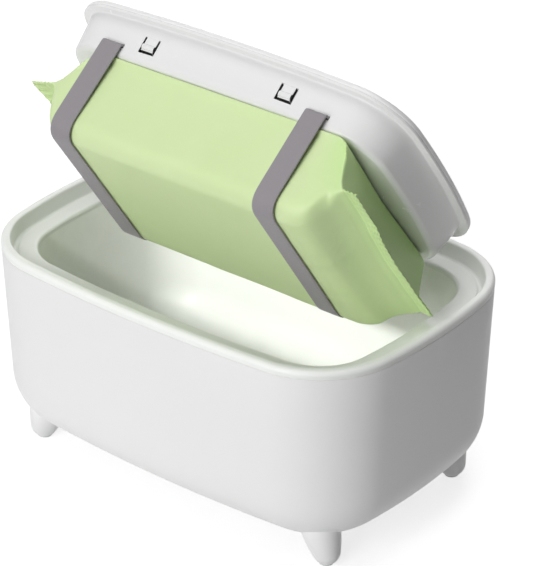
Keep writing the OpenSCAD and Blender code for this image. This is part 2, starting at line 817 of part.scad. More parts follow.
module lid_tray() {
    color([0.94, 0.94, 0.93])
        on_lid()
            difference() {
                union() {
                    bowl(concat(
                        arc([plug_round_in, plug_r - plug_depth], plug_r - tray_wall, 270, 180,
                            edge_steps / 2),
                        [[plug_in + tray_wall, cover_low], [lid_in, cover_low], [lid_in, arm_low],
                            [plug_in, arm_low]],
                        arc([plug_round_in, plug_r - plug_depth], plug_r, 180, 270, edge_steps)));
                    for (s = [-1, 1]) {
                        profile(arm_points, s * hinge_x, arm_w);
                        bar_x(knuckle_r, s * hinge_x, arm_w, hinge_y, axis_n);
                    }
                    for (sx = [-1, 1], sy = [-1, 1], c = [-1, 1])
                        translate([sx * strap_x + c * cheek_in_off - cheek_in_t / 2,
                            sy > 0 ? bar_y - cheek_in_r : -strap_wall_y - over, tray_floor - over])
                            cube([cheek_in_t, strap_wall_y + over - bar_y + cheek_in_r,
                                bar_n + cheek_in_r - tray_floor + over]);
                }
                for (s = [-1, 1])
                    bar_x(pin_r + slip, s * hinge_x, arm_w + 2 * over, hinge_y, axis_n);
                translate([0, port_y, 0])
                    block(plate_w, plate_d, cap_r, -plug_depth - over, tray_floor + over);
                for (s = [-1, 1])
                    front_piece(s * tab_x, tab_w + 2 * tab_slot,
                        [[plug_in - over, -tab_top], [plug_in + plug_taper + tray_wall + over, -tab_top],
                        [plug_in + plug_taper + tray_wall + over, -tab_top - tab_h - tab_slot],
                        [plug_in - over, -tab_top - tab_h - tab_slot]]);
                for (sx = [-1, 1], sy = [-1, 1])
                    translate([sx * strap_x, sy * (strap_wall_y + tray_wall), -strap_slot_n])
                        cube([strap_w + 2 * gap, 4 * tray_wall, slot_h], center = true);
                for (sx = [-1, 1], sy = [-1, 1])
                    bar_x(bar_r, sx * strap_x, 2 * cheek_in_off + 2 * cheek_in_t, sy * bar_y, bar_n);
                for (p = lid_screw_spots)
                    translate([p.x, p.y, 0]) {
                        disc(lid_screw_r + slip, -plug_depth - over, tray_floor + over);
                        disc(lid_screw_head_r + gap, -plug_depth - over,
                            lid_screw_head_h - plug_depth);
                    }
                for (p = plate_screw_spots)
                    translate([p.x, p.y, 0])
                        disc(plate_screw_r, tray_floor - plate_hole_h, tray_floor + over);
            }
}

module lid_screws() {
    color([0.72, 0.73, 0.75])
        on_lid()
            for (p = lid_screw_spots)
                translate([p.x, p.y, lid_screw_head_h - plug_depth])
                    mirror([0, 0, 1])
                        screw(lid_screw_r, lid_screw_l - over, lid_screw_head_r, lid_screw_head_h);
}

// Snap tabs, cut to the curve and slope of the plug's front wall
tab_hook = 2.4;
tab_low = tab_top + tab_h;

module snap_tab(s) {
    color([0.94, 0.94, 0.93])
        on_lid()
            front_piece(s * tab_x, tab_w, [
                [plug_at(tab_top + slip) + tray_wall, -tab_top - 4 * slip],
                [plug_at(tab_top + slip), -tab_top - 4 * slip],
                [plug_at(tab_low - tab_hook), tab_hook - tab_low],
                [plug_at(tab_low) - hook_h, tab_hook / 4 - tab_low],
                [plug_at(tab_low), -tab_low],
                [plug_at(tab_low) + tray_wall, -tab_low]]);
}

module snap_tab_left() {
    snap_tab(-1);
}

module snap_tab_right() {
    snap_tab(1);
}

// Heater, from the plate up
chute_w = port_w + 2 * bezel_wall;
chute_d = port_d + 2 * bezel_wall;
port_r = 5;
sensor_x = (port_w + plate_w) / 4;

module heating_plate() {
    color([0.8, 0.81, 0.82])
        on_lid()
            difference() {
                translate([0, port_y, 0]) {
                    block(plate_w - 2 * gap, plate_d - 2 * gap, cap_r - gap, -plug_depth, plate_top);
                    block(plate_w + 2 * plate_flange_w, plate_d + 2 * plate_flange_w, cap_r, tray_floor,
                        plate_top);
                }
                translate([0, port_y, 0])
                    block(port_w, port_d, port_r, -plug_depth - over, plate_top + over);
                for (p = plate_screw_spots)
                    translate([p.x, p.y, 0])
                        disc(plate_screw_r + slip, tray_floor - over, plate_top + over);
            }
}

module plate_screws() {
    color([0.72, 0.73, 0.75])
        on_lid()
            for (p = plate_screw_spots)
                translate([p.x, p.y, plate_top])
                    screw(plate_screw_r, plate_t + plate_hole_h, plate_screw_head_r,
                        plate_screw_head_h);
}

module heating_film() {
    color([0.75, 0.5, 0.2])
        on_lid()
            translate([0, port_y, 0])
                difference() {
                    block(plate_w - 2 * plate_flange_w, plate_d - 2 * gap, cap_r - gap, plate_top,
                        film_top);
                    block(chute_w + 2 * gap, chute_d + 2 * gap, port_r + bezel_wall, plate_top - over,
                        film_top + over);
                }
}

module insulation_pad() {
    color([0.9, 0.9, 0.86])
        on_lid()
            translate([0, port_y, 0])
                difference() {
                    block(plate_w - 2 * plate_flange_w, plate_d - 2 * gap, cap_r - gap, film_top,
                        film_top + pad_t);
                    block(chute_w + 2 * gap, chute_d + 2 * gap, port_r + bezel_wall, film_top - over,
                        film_top + pad_t + over);
                    translate([sensor_x, 0, 0])
                        disc(thermostat_r + gap, film_top - over, film_top + pad_t + over);
                    translate([-sensor_x, 0, 0])
                        block(2 * fuse_r + 2 * gap, fuse_l + 2 * gap, gap, film_top - over,
                            film_top + pad_t + over);
                }
}

module thermostat() {
    color([0.2, 0.2, 0.22])
        on_lid()
            translate([sensor_x, port_y, 0]) {
                disc(thermostat_r, film_top, film_top + pad_t);
                disc(thermostat_r / 2, film_top + pad_t, film_top + pad_t + lead_r);
            }
}

module thermal_fuse() {
    color([0.85, 0.8, 0.7])
        on_lid()
            translate([-sensor_x, port_y - fuse_l / 2, film_top + fuse_r])
                rotate([-90, 0, 0])
                    cylinder(r = fuse_r, h = fuse_l);
}

// Board, with the two switches under the buttons
switch_h = 1.2;
switch_r = 2.4;

module control_board() {
    color([0.1, 0.4, 0.2])
        on_lid()
            difference() {
                union() {
                    translate([panel_x, board_y, 0])
                        block(board_w, board_d, lens_side, board_top - board_t, board_top);
                    for (s = [-1, 1])
                        translate([panel_x, board_y + s * button_gap, 0])
                            disc(switch_r, board_top, board_top + switch_h);
                }
                for (p = board_spots)
                    translate([p.x, p.y, 0])
                        disc(board_screw_r + slip, board_top - board_t - over, board_top + over);
            }
}

module board_screws() {
    color([0.72, 0.73, 0.75])
        on_lid()
            for (p = board_spots)
                translate([p.x, p.y, board_top - board_t])
                    mirror([0, 0, 1])
                        screw(board_screw_r, board_screw_l, board_screw_head_r, board_screw_head_h);
}

module display_module() {
    color([0.12, 0.12, 0.13])
        on_lid()
            translate([panel_x, board_y, 0])
                block(lens_w - lens_side, lens_d - lens_side, lens_side, board_top,
                    cover_under - gap);
}

module display_window() {
    color([0.08, 0.08, 0.1])
        on_lid()
            translate([panel_x, board_y, 0])
                block(lens_w, lens_d, lens_side, crown_top - lens_t, crown_top);
}

module button(s) {
    color([0.9, 0.9, 0.89])
        on_lid()
            translate([panel_x, board_y + s * button_gap, 0]) {
                disc(button_r, cover_under - gap - flange_t / 2, crown_top + button_rise);
                disc(button_r + 2 * gap, cover_under - gap - flange_t / 2, cover_under - gap);
                disc(switch_r / 2, board_top + switch_h + button_travel + gap, cover_under);
            }
}

module power_button() {
    button(-1);
}

module mode_button() {
    button(1);
}

// Bezel with its chute down to the plate
module port_bezel() {
    color([0.92, 0.92, 0.91])
        on_lid()
            difference() {
                union() {
                    translate([0, bezel_y, 0]) {
                        block(bezel_w, bezel_d, bezel_r, bezel_low, crown_top);
                        block(bezel_w + 2 * bezel_lip, bezel_d, bezel_r, cover_under - bezel_wall,
                            cover_under - 2 * slip);
                    }
                    translate([0, port_y, 0])
                        block(chute_w, chute_d, port_r + bezel_wall, plate_top, bezel_low + over);
                }
                translate([0, (pocket_front + cap_neck + gap) / 2, 0])
                    block(cap_w + 2 * gap, cap_neck + gap - pocket_front, cap_r, pocket_floor,
                        crown_top + over);
                translate([0, pocket_back - cap_r, 0])
                    block(tongue_w + 2 * gap, 2 * cap_r, 2 * gap, pocket_floor, crown_top + over);
                translate([0, port_y, 0])
                    block(port_w, port_d, port_r, plate_top - over, crown_top + over);
                translate([0, latch_y, 0]) {
                    block(latch_w + 2 * gap, latch_d + 2 * gap, lens_side, bezel_low - over,
                        crown_top + over);
                    block(latch_w + 2 * gap + 2 * latch_flange, latch_d + 2 * gap + latch_flange,
                        lens_side, bezel_low - over, pocket_floor);
                }
                bar_x(cap_pin_r, 0, cap_pin_l, cap_axis_y, cap_axis_n);
            }
}

module flip_cap() {
    color([0.94, 0.94, 0.93])
        on_lid()
            difference() {
                union() {
                    translate([0, (cap_front + cap_neck) / 2, 0])
                        block(cap_w, cap_neck - cap_front, cap_r - gap, cap_low, cap_top);
                    translate([0, cap_axis_y - cap_r, 0])
                        block(tongue_w, 2 * cap_r, 2 * gap, cap_low, cap_top);
                    bar_x(barrel_r, 0, tongue_w, cap_axis_y, cap_axis_n);
                }
                bar_x(cap_pin_r + slip, 0, cap_w + over, cap_axis_y, cap_axis_n);
            }
}

module cap_pin() {
    color([0.78, 0.79, 0.8])
        on_lid()
            bar_x(cap_pin_r, 0, cap_pin_l, cap_axis_y, cap_axis_n);
}

module cap_seal() {
    color([0.8, 0.82, 0.82])
        on_lid()
            translate([0, port_y, 0])
                difference() {
                    block(port_w + 2 * seal_w + 2 * bezel_wall, port_d + 2 * seal_w + 2 * bezel_wall,
                        port_r + seal_w, cap_low - seal_t, cap_low);
                    block(port_w + 2 * bezel_wall, port_d + 2 * bezel_wall, port_r,
                        cap_low - seal_t - over, cap_low + over);
                }
}

module cap_latch() {
    color([0.86, 0.86, 0.85])
        on_lid()
            translate([0, latch_y, 0]) {
                block(latch_w, latch_d, lens_side, pocket_floor - gap - latch_flange,
                    crown_top + latch_travel);
                block(latch_w + 2 * latch_flange, latch_d + latch_flange, lens_side,
                    pocket_floor - gap - latch_flange, pocket_floor - gap);
            }
}

// Lead from the left arm to the board, in the lid
lid_lead_y = long_y(plug_in + tray_wall + lead_r + gap, hinge_x);
lid_lead_n = board_top - board_t - lead_r;
lid_lead_points = [[-hinge_x, lid_lead_y - lead_r, cover_low],
    [-hinge_x, lid_lead_y - lead_r, lid_lead_n],
    [panel_x, lid_lead_y - lead_r, lid_lead_n],
    [panel_x, board_y + board_d / 2 - post_r, lid_lead_n]];

module lid_lead() {
    color([0.15, 0.15, 0.16])
        on_lid()
            tube(eased(lid_lead_points, 2 * lead_r), lead_r);
}

// Straps
module strap_bars() {
    color([0.75, 0.76, 0.78])
        on_lid()
            for (sx = [-1, 1], sy = [-1, 1])
                bar_x(bar_r, sx * strap_x, 2 * cheek_in_off + cheek_in_t, sy * bar_y, bar_n);
}

pack_top = plug_depth + gap;
pack_low = pack_top + pack_h;
pack_y = port_y;
strap_bend_front = pack_r;
strap_bend_back = 4;
strap_low = pack_low + gap + strap_t / 2;
loop_r = bar_r + slip + strap_t / 2;
strap_out = strap_wall_y + tray_wall + 2 * strap_t;
front_y = pack_y - pack_d / 2 - gap - strap_t / 2;
back_y = pack_y + pack_d / 2 + gap + strap_t / 2;

slot_front = [-strap_out, -strap_slot_n];
slot_back = [strap_out, -strap_slot_n];
turn_front = [front_y, -strap_low];
turn_back = [back_y, -strap_low];
bar_front = [-bar_y, bar_n];
bar_back = [bar_y, bar_n];
strap_path = concat(
    arc(bar_front, loop_r, 150, -90, 2 * round_steps),
    bend(bar_front - [0, loop_r], slot_front, turn_front, strap_t),
    bend(slot_front, turn_front, turn_back, strap_bend_front),
    bend(turn_front, turn_back, slot_back, strap_bend_back),
    bend(turn_back, slot_back, bar_back - [0, loop_r], strap_t),
    arc(bar_back, loop_r, 270, 30, 2 * round_steps));

function side(path, off) = [for (i = [0:len(path) - 1])
    let (d = path[min(i + 1, len(path) - 1)] - path[max(i - 1, 0)]) path[i] + off * [-d.y, d.x] / norm(d)];

module strap(s) {
    color([0.53, 0.51, 0.53])
        on_lid()
            profile(concat(side(strap_path, strap_t / 2), back(side(strap_path, -strap_t / 2))),
                s * strap_x, strap_w);
}

module strap_left() {
    strap(-1);
}

module strap_right() {
    strap(1);
}

// Wipes pack: rings along its length, each a share of the half length, of the half height above and
// below the middle, and of the depth
pack_shares = [[-1, -0.06, 0.14, 0.96], [-0.965, 0.02, 0.36, 0.97], [-0.94, 0.2, 0.58, 0.98],
    [-0.915, 0.42, 0.72, 0.99], [-0.895, 0.56, 0.82, 1], [-0.86, 0.78, 0.93, 1], [-0.81, 0.95, 1, 1],
    [-0.76, 1, 1, 1], [0.878, 1, 1, 1], [0.925, 0.97, 0.95, 1], [0.96, 0.85, 0.8, 1],
    [0.985, 0.66, 0.6, 1], [1.01, 0.42, 0.36, 1], [1.045, 0.14, 0.14, 1], [1.08, -0.03, 0.03, 1]];
fin_drop_share = 0.1;
pack_mid = -(pack_top + pack_low) / 2;

function pack_ring(x, up, down, d) =
    let (half = (pack_h - fin_t) / 2, h = fin_t + (up + down) * half, r = min(pack_r, h / 2 - fin_t / 8))
    [for (p = round_rect(d, h, r)) [x, pack_y + p.x, pack_mid + (up - down) * half / 2 + p.y]];

pack_rings = concat(
    [pack_ring(pack_x - pack_w / 2 - fin_left, -fin_drop_share, fin_drop_share,
        pack_d * pack_shares[0][3])],
    [for (s = pack_shares) pack_ring(pack_x + s[0] * pack_w / 2, s[1], s[2], s[3] * pack_d)],
    [pack_ring(pack_x + pack_w / 2 + fin_right, -fin_drop_share / 2, fin_drop_share / 2, pack_d)]);

function loft_faces(rings) = let (m = len(rings[0]), k = len(rings)) concat(
    [for (j = [1:m - 2]) [0, j + 1, j]],
    [for (i = [0:k - 2], j = [0:m - 1]) each
        [[i * m + j, i * m + (j + 1) % m, (i + 1) * m + j],
        [i * m + (j + 1) % m, (i + 1) * m + (j + 1) % m, (i + 1) * m + j]]],
    [for (j = [1:m - 2]) [(k - 1) * m, (k - 1) * m + j, (k - 1) * m + j + 1]]);

module wipes_pack() {
    color([0.76, 0.86, 0.6])
        on_lid()
            polyhedron([for (r = pack_rings) each r], loft_faces(pack_rings));
}

outer_shell();
rim_frame();
inner_tub();
tub_foam();
foot_front_left();
foot_front_right();
foot_back_left();
foot_back_right();
foot_pads();
foot_screws();
hinge_pin_left();
hinge_pin_right();
hinge_washers();
power_inlet();
base_lead();
lid_cover();
lid_tray();
lid_screws();
snap_tab_left();
snap_tab_right();
heating_plate();
plate_screws();
heating_film();
insulation_pad();
thermostat();
thermal_fuse();
control_board();
board_screws();
display_module();
display_window();
power_button();
mode_button();
port_bezel();
flip_cap();
cap_seal();
cap_pin();
cap_latch();
lid_lead();
strap_bars();
strap_left();
strap_right();
wipes_pack();
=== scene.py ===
import math

import bmesh
import bpy
from mathutils import Matrix, Vector, noise


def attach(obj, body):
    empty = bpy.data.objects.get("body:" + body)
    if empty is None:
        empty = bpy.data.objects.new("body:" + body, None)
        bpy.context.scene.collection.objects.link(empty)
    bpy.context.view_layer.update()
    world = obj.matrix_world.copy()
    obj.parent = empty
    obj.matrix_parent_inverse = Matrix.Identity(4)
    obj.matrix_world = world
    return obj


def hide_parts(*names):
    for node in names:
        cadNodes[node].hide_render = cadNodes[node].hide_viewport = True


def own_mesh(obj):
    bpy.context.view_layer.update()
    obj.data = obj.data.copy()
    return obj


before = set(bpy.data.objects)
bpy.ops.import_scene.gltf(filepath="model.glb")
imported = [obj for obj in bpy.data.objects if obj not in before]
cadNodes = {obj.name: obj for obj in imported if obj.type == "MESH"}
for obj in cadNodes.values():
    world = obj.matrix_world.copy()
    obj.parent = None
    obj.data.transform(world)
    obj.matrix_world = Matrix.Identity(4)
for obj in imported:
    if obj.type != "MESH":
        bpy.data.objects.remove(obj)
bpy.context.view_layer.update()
for leftover in ("Cube", "Light", "Camera"):
    if leftover in bpy.data.objects:
        bpy.data.objects.remove(bpy.data.objects[leftover])
print("frame loaded:", len(cadNodes), "nodes")


# small tools for modelling; places nearer than tiny are the same
tiny = 1e-6


def deselectAll():
    if bpy.context.mode != "OBJECT":
        objectMode()
    bpy.ops.object.select_all(action="DESELECT")


def makeActive(obj):
    deselectAll()
    obj.select_set(True)
    bpy.context.view_layer.objects.active = obj


def objectMode():
    bpy.ops.object.mode_set(mode="OBJECT")


def editMode(obj, kind="VERT"):
    makeActive(obj)
    bpy.ops.object.mode_set(mode="EDIT")
    bpy.ops.mesh.select_mode(type=kind)
    selectMesh("DESELECT")


def selectMesh(action="SELECT"):
    bpy.ops.mesh.select_all(action=action)


def mergeDoubles(distance):
    selectMesh()
    bpy.ops.mesh.remove_doubles(threshold=distance)


def faceOutwards():
    # the last step of a solid in edit mode
    selectMesh()
    bpy.ops.mesh.normals_make_consistent(inside=False)
    objectMode()


def pick(obj, test):
    # selects the edges that pass the test
    mesh = bmesh.from_edit_mesh(obj.data)
    for edge in mesh.edges:
        if test(edge):
            edge.select_set(True)
    bmesh.update_edit_mesh(obj.data)


def closeHole(obj, test):
    # fills the hole whose edges pass the test
    bpy.ops.mesh.select_mode(type="EDGE")
    selectMesh("DESELECT")
    pick(obj, lambda edge: edge.is_boundary and test(edge))
    bpy.ops.mesh.edge_face_add()


def settle(obj):
    # the place goes into the mesh and the object to the origin
    makeActive(obj)
    bpy.ops.object.transform_apply(location=True, rotation=True, scale=True)


def newPiece(name):
    # takes up what the last operator added
    obj = bpy.context.object
    obj.name = name
    settle(obj)
    return obj


def applyModifier(obj, kind, **settings):
    makeActive(obj)
    modifier = obj.modifiers.new(kind.lower(), kind)
    for name, value in settings.items():
        setattr(modifier, name, value)
    bpy.ops.object.modifier_apply(modifier=modifier.name)


def softenEdges(obj, width, segments=2, angle=50):
    applyModifier(obj, "BEVEL", width=width, segments=segments, limit_method="ANGLE",
                  angle_limit=math.radians(angle), use_clamp_overlap=True)


def smooth(obj, angle=38):
    makeActive(obj)
    bpy.ops.object.shade_smooth_by_angle(angle=math.radians(angle))


def finishSolid(obj, doubles=2 * tiny):
    editMode(obj)
    mergeDoubles(doubles)
    faceOutwards()


def cut(obj, *cutters, operation="DIFFERENCE"):
    for cutter in cutters:
        applyModifier(obj, "BOOLEAN", operation=operation, solver="EXACT", object=cutter)
        bpy.data.objects.remove(cutter)


def chain(name, points):
    # a line of vertices, each extruded from the last, as drawn by hand
    deselectAll()
    bpy.ops.mesh.primitive_plane_add(size=0.001, location=points[0])
    obj = newPiece(name)
    bpy.ops.object.mode_set(mode="EDIT")
    bpy.ops.mesh.select_mode(type="VERT")
    selectMesh()
    bpy.ops.mesh.merge(type="CENTER")
    for here, there in zip(points, points[1:]):
        step = Vector(there) - Vector(here)
        bpy.ops.mesh.extrude_vertices_move(TRANSFORM_OT_translate={"value": step})
    return obj


def arcPoints(centre, radius, startAngle, endAngle, steps):
    turns = [math.radians(startAngle + (endAngle - startAngle) * i / steps) for i in range(steps + 1)]
    return [(centre[0] + radius * math.cos(t), centre[1] + radius * math.sin(t)) for t in turns]


# the bowed outline that the body and the lid share
outline = {
    "width": 0.240, "depth": 0.1617,
    "longRadius": 0.838, "shortRadius": 0.308, "cornerRadius": 0.0462,
    "longSteps": 20, "shortSteps": 12, "cornerSteps": 22,
}


def outlineArcs():
    # centre, sweep and steps of the eight arcs, from the right-hand end round
    longCentre = Vector((0, outline["depth"] / 2 - outline["longRadius"]))
    shortCentre = Vector((outline["width"] / 2 - outline["shortRadius"], 0))
    longArm = outline["longRadius"] - outline["cornerRadius"]
    shortArm = outline["shortRadius"] - outline["cornerRadius"]
    span = shortCentre - longCentre
    along = (longArm ** 2 - shortArm ** 2 + span.length ** 2) / (2 * span.length)
    aside = math.sqrt(longArm ** 2 - along ** 2)
    aim = span.normalized()
    corner = longCentre + aim * along + Vector((aim.y, -aim.x)) * aside
    longAngle = math.atan2(corner.y - longCentre.y, corner.x)
    shortAngle = math.atan2(corner.y, corner.x - shortCentre.x)
    half = [
        (shortCentre, 2 * shortAngle, outline["shortSteps"]),
        (corner, longAngle - shortAngle, outline["cornerSteps"]),
        (longCentre, math.pi - 2 * longAngle, outline["longSteps"]),
        (Vector((-corner.x, corner.y)), longAngle - shortAngle, outline["cornerSteps"]),
    ]
    return {"shortAngle": shortAngle, "longCentre": longCentre, "shortCentre": shortCentre,
            "sweeps": half + [(-centre, sweep, steps) for centre, sweep, steps in half]}


arcs = outlineArcs()


def outlineY(inset, x):
    # how far the outline's long side is from the middle
    return arcs["longCentre"].y + math.sqrt((outline["longRadius"] - inset) ** 2 - x ** 2)


def sweepOutline(name, section, closed=False):
    # spins a section, given as insets and heights, round the outline
    start = Vector((math.cos(arcs["shortAngle"]), -math.sin(arcs["shortAngle"])))
    points = []
    for inset, height in section + (section[:1] if closed else []):
        place = arcs["shortCentre"] + start * (outline["shortRadius"] - inset)
        points.append((place.x, place.y, height))
    obj = chain(name, points)
    selectMesh()
    for centre, sweep, steps in arcs["sweeps"]:
        bpy.ops.mesh.spin(steps=steps, angle=-sweep, center=(centre.x, centre.y, 0), axis=(0, 0, 1))
    mergeDoubles(2 * tiny)
    if not closed:
        for height in {section[0][1], section[-1][1]}:
            closeHole(obj, lambda e: all(abs(v.co.z - height) < tiny for v in e.verts))
    faceOutwards()
    return obj


def roundedBlock(name, size, place, radius=0.0001, segments=1):
    # a block with its upright edges rounded
    deselectAll()
    bpy.ops.mesh.primitive_cube_add(size=1, location=place, scale=size)
    obj = newPiece(name)
    editMode(obj, "EDGE")
    pick(obj, lambda e: abs(e.verts[0].co.z - e.verts[1].co.z) > size[2] / 2)
    bpy.ops.mesh.bevel(offset=radius, segments=segments, affect="EDGES", clamp_overlap=True)
    objectMode()
    return obj


def rod(name, radius, length, place, turn=(0, 0, 0), sides=48):
    deselectAll()
    bpy.ops.mesh.primitive_cylinder_add(vertices=sides, radius=radius, depth=length, location=place,
                                        rotation=turn)
    return newPiece(name)


def plateOf(name, points, x, thickness, edge=0.0005):
    # a plate cut to a side view, in depth and height, and centred on x
    obj = chain(name, [(x - thickness / 2, y, z) for y, z in points])
    selectMesh()
    bpy.ops.mesh.edge_face_add()
    bpy.ops.mesh.select_mode(type="FACE")
    selectMesh()
    bpy.ops.mesh.extrude_region_move(TRANSFORM_OT_translate={"value": (thickness, 0, 0)})
    faceOutwards()
    softenEdges(obj, edge, 3, 32)
    return obj


def softCopy(name, nodeName, edge):
    # a merged copy of a CAD node, its flats made whole and its edges softened
    obj = bpy.data.objects.new(name, cadNodes[nodeName].data.copy())
    bpy.context.scene.collection.objects.link(obj)
    obj.data.materials.clear()
    editMode(obj)
    mergeDoubles(tiny)
    bpy.ops.mesh.dissolve_limited(angle_limit=math.radians(1))
    bpy.ops.mesh.normals_make_consistent(inside=False)
    objectMode()
    softenEdges(obj, edge, 2, 32)
    smooth(obj)
    return obj


# where the open lid stands
hinge = {"y": 0.077, "z": 0.1242, "openAngle": 55.65, "ledgeZ": 0.1091, "radius": 0.0038, "x": 0.048}
lyingAcross = (0, math.radians(90), 0)
onLid = (Matrix.Translation((0, hinge["y"], hinge["z"]))
         @ Matrix.Rotation(-math.radians(hinge["openAngle"]), 4, "X")
         @ Matrix.Translation((0, -hinge["y"], hinge["ledgeZ"] - hinge["z"])))


def openWithLid(obj):
    # turns a piece modelled on the closed lid, with heights from the ledge, to the open one
    obj.data.transform(onLid)
    obj.data.update()
    return obj


# outer shell
shell = {
    "bottomZ": 0.0124, "height": 0.1038, "taper": 0.0042, "bottomRadius": 0.030,
    "wall": 0.0024, "seamDrop": 0.0042, "edge": 0.0003, "sideShares": (0.8, 0.6, 0.45),
    "inletZ": 0.042, "inletRadius": 0.0053,
}
shell["top"] = shell["height"] - shell["seamDrop"]


def drawnIn(height):
    return shell["taper"] * (shell["height"] - height) / shell["height"]


def makeShell():
    wall, low, top, edge = shell["wall"], shell["bottomRadius"], shell["top"], shell["edge"]
    roundIn, topIn = drawnIn(low) + low, drawnIn(top)
    section = arcPoints((roundIn, low), low - wall, 270, 180, 20)
    section += [(topIn + wall, top - edge), (topIn + wall - edge, top)]
    section += arcPoints((topIn + edge, top - edge), edge, 90, 180, 3)
    section += [(drawnIn(top * share), top * share) for share in shell["sideShares"]]
    section += arcPoints((roundIn, low), low, 180, 270, 32)
    obj = sweepOutline("bodyShell", [(inset, height + shell["bottomZ"]) for inset, height in section])
    cut(obj, rod("inletHole", shell["inletRadius"], 0.02,
                 (0, outline["depth"] / 2 - drawnIn(shell["inletZ"]), shell["bottomZ"] + shell["inletZ"]),
                 (math.radians(90), 0, 0)))
    smooth(obj)
    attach(obj, "base")
    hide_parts("outer_shell")
    return obj


# rim with its lip, groove, ledge and the hinge cheeks
rim = {
    "topZ": 0.1162, "lipWidth": 0.0050, "outerRadius": 0.0024, "innerRadius": 0.0010, "edge": 0.0003,
    "ledgeDrop": 0.0071, "grooveIn": 0.0073, "grooveRadius": 0.0015, "grooveDrop": 0.0073,
    "mouthIn": 0.0186, "ridge": 0.0016, "ridgeRise": 0.0006, "wall": 0.0022,
    "wellIn": 0.0110, "ledgeIn": 0.0112, "skirtHeight": 0.008, "skirtThick": 0.0018, "skirtGap": 0.00005,
    # how the ridge by the mouth falls to the ledge, and the ledge to the groove
    "ridgeFall": ((0.0007, 0.97), (0.0015, 0.85), (0.0025, 0.62), (0.0037, 0.35), (0.0052, 0.12)),
    "ledgeFall": ((0.0096, 0.00004), (0.0090, 0.00012)),
    "cheekIn": 0.0086, "cheekThick": 0.004, "cheekGap": 0.0001,
    "armWidth": 0.012, "washer": 0.0006, "rise": 0.008, "pinHole": 0.0016,
}


def rimSection():
    seam, edge, wall, ridge = shell["seamDrop"], rim["edge"], rim["wall"], rim["ridge"]
    ledge, groove, mouthIn = rim["ledgeDrop"], rim["grooveDrop"], rim["mouthIn"]
    inner, outer = rim["innerRadius"], rim["outerRadius"]
    skirtLow = -seam - rim["skirtHeight"]
    skirtIn = drawnIn(shell["top"] - rim["skirtHeight"]) + shell["wall"] + rim["skirtGap"]
    innerIn, outerIn = skirtIn + rim["skirtThick"], drawnIn(shell["top"])
    wellLow = -groove - rim["grooveRadius"] - wall
    section = [(skirtIn, -seam), (skirtIn, skirtLow), (innerIn, skirtLow), (innerIn, wellLow),
               (rim["wellIn"], wellLow), (rim["ledgeIn"], -ledge - wall), (mouthIn, -ledge - wall)]
    section += arcPoints((mouthIn - ridge, rim["ridgeRise"] - ledge - ridge), ridge, 0, 90, 10)
    section += [(mouthIn - ridge - run, rim["ridgeRise"] * share - ledge) for run, share in rim["ridgeFall"]]
    section += [(inset, -ledge - drop) for inset, drop in rim["ledgeFall"]]
    section += arcPoints((rim["grooveIn"], -groove), rim["grooveRadius"], 0, -176, 16)
    section += arcPoints((rim["lipWidth"] - inner, -inner), inner, 0, 90, 8)
    section += arcPoints((outer, -outer), outer, 90, 176, 12)
    section += [(outerIn - 0.00002, -seam + edge), (outerIn + edge, -seam)]
    return [(inset, height + rim["topZ"]) for inset, height in section]


def makeRim():
    obj = sweepOutline("rimFrame", rimSection(), closed=True)
    hingeY, hingeZ, radius = hinge["y"], hinge["z"], hinge["radius"]
    front = outline["depth"] / 2 - rim["cheekIn"]
    low = hingeZ - rim["rise"]
    side = [(front, low - shell["seamDrop"]), (hingeY + radius, low - rim["outerRadius"]),
            (hingeY + radius, hingeZ)]
    side += arcPoints((hingeY, hingeZ), radius, 10, 180, 14) + [(front, low)]
    offset = rim["armWidth"] / 2 + rim["washer"] + rim["cheekGap"] + rim["cheekThick"] / 2
    for x in (-hinge["x"], hinge["x"]):
        for turn in (-1, 1):
            cut(obj, plateOf("cheek", side, x + turn * offset, rim["cheekThick"]), operation="UNION")
        cut(obj, rod("pinHole", rim["pinHole"], 0.04, (x, hingeY, hingeZ), lyingAcross, 32))
    smooth(obj)
    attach(obj, "base")
    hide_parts("rim_frame")
    return obj


# inner tub
tub = {"depth": 0.084, "draft": 0.003, "floorRadius": 0.017, "wall": 0.002, "flange": 0.005}


def makeTub():
    radius, wall, mouthIn = tub["floorRadius"], tub["wall"], rim["mouthIn"]
    top = rim["topZ"] - rim["ledgeDrop"] - rim["wall"]
    middle = (mouthIn + tub["draft"] + radius, rim["topZ"] - tub["depth"] + radius)
    flangeIn = mouthIn - wall - tub["flange"]
    section = arcPoints(middle, radius, 270, 180, 24)
    section += [(mouthIn, top), (flangeIn, top), (flangeIn, top - wall), (mouthIn - wall, top - wall)]
    section += arcPoints(middle, radius + wall, 180, 270, 18)
    obj = sweepOutline("innerTub", section)
    smooth(obj)
    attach(obj, "base")
    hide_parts("inner_tub")
    return obj


bodyShell = makeShell()
rimFrame = makeRim()
innerTub = makeTub()
print("body made")


# lid cover: crowned top, with the openings for the port, window and buttons
lid = {
    "inset": 0.0154, "edgeHeight": 0.0056, "edgeRadius": 0.0026, "crown": 0.0029, "crownRun": 0.024,
    "wall": 0.002, "edge": 0.0003, "armIn": 0.0003, "flange": 0.0016, "coverLow": 0.0025, "flangeLow": 0.0009,
    "screwX": 0.07495, "screwY": 0.04699, "through": 0.012, "softEdge": 0.00025,
}
lid["top"] = lid["edgeHeight"] + lid["crown"]
port = {"y": -0.006, "bezelY": -0.0094, "bezelWidth": 0.0898, "bezelDepth": 0.0634, "radius": 0.0096}
panel = {"x": 0.064, "buttonGap": 0.024, "buttonRadius": 0.006, "lensWidth": 0.016, "lensDepth": 0.026,
         "lensThick": 0.0012, "side": 0.001, "gap": 0.0001, "seat": 0.002, "buttonClear": 0.0003}


def crownLine(drop, steps=18):
    start = lid["inset"] + lid["edgeRadius"]
    return [(start + lid["crownRun"] * i / steps,
             lid["edgeHeight"] + lid["crown"] * (1 - (1 - i / steps) ** 2) - drop) for i in range(steps + 1)]


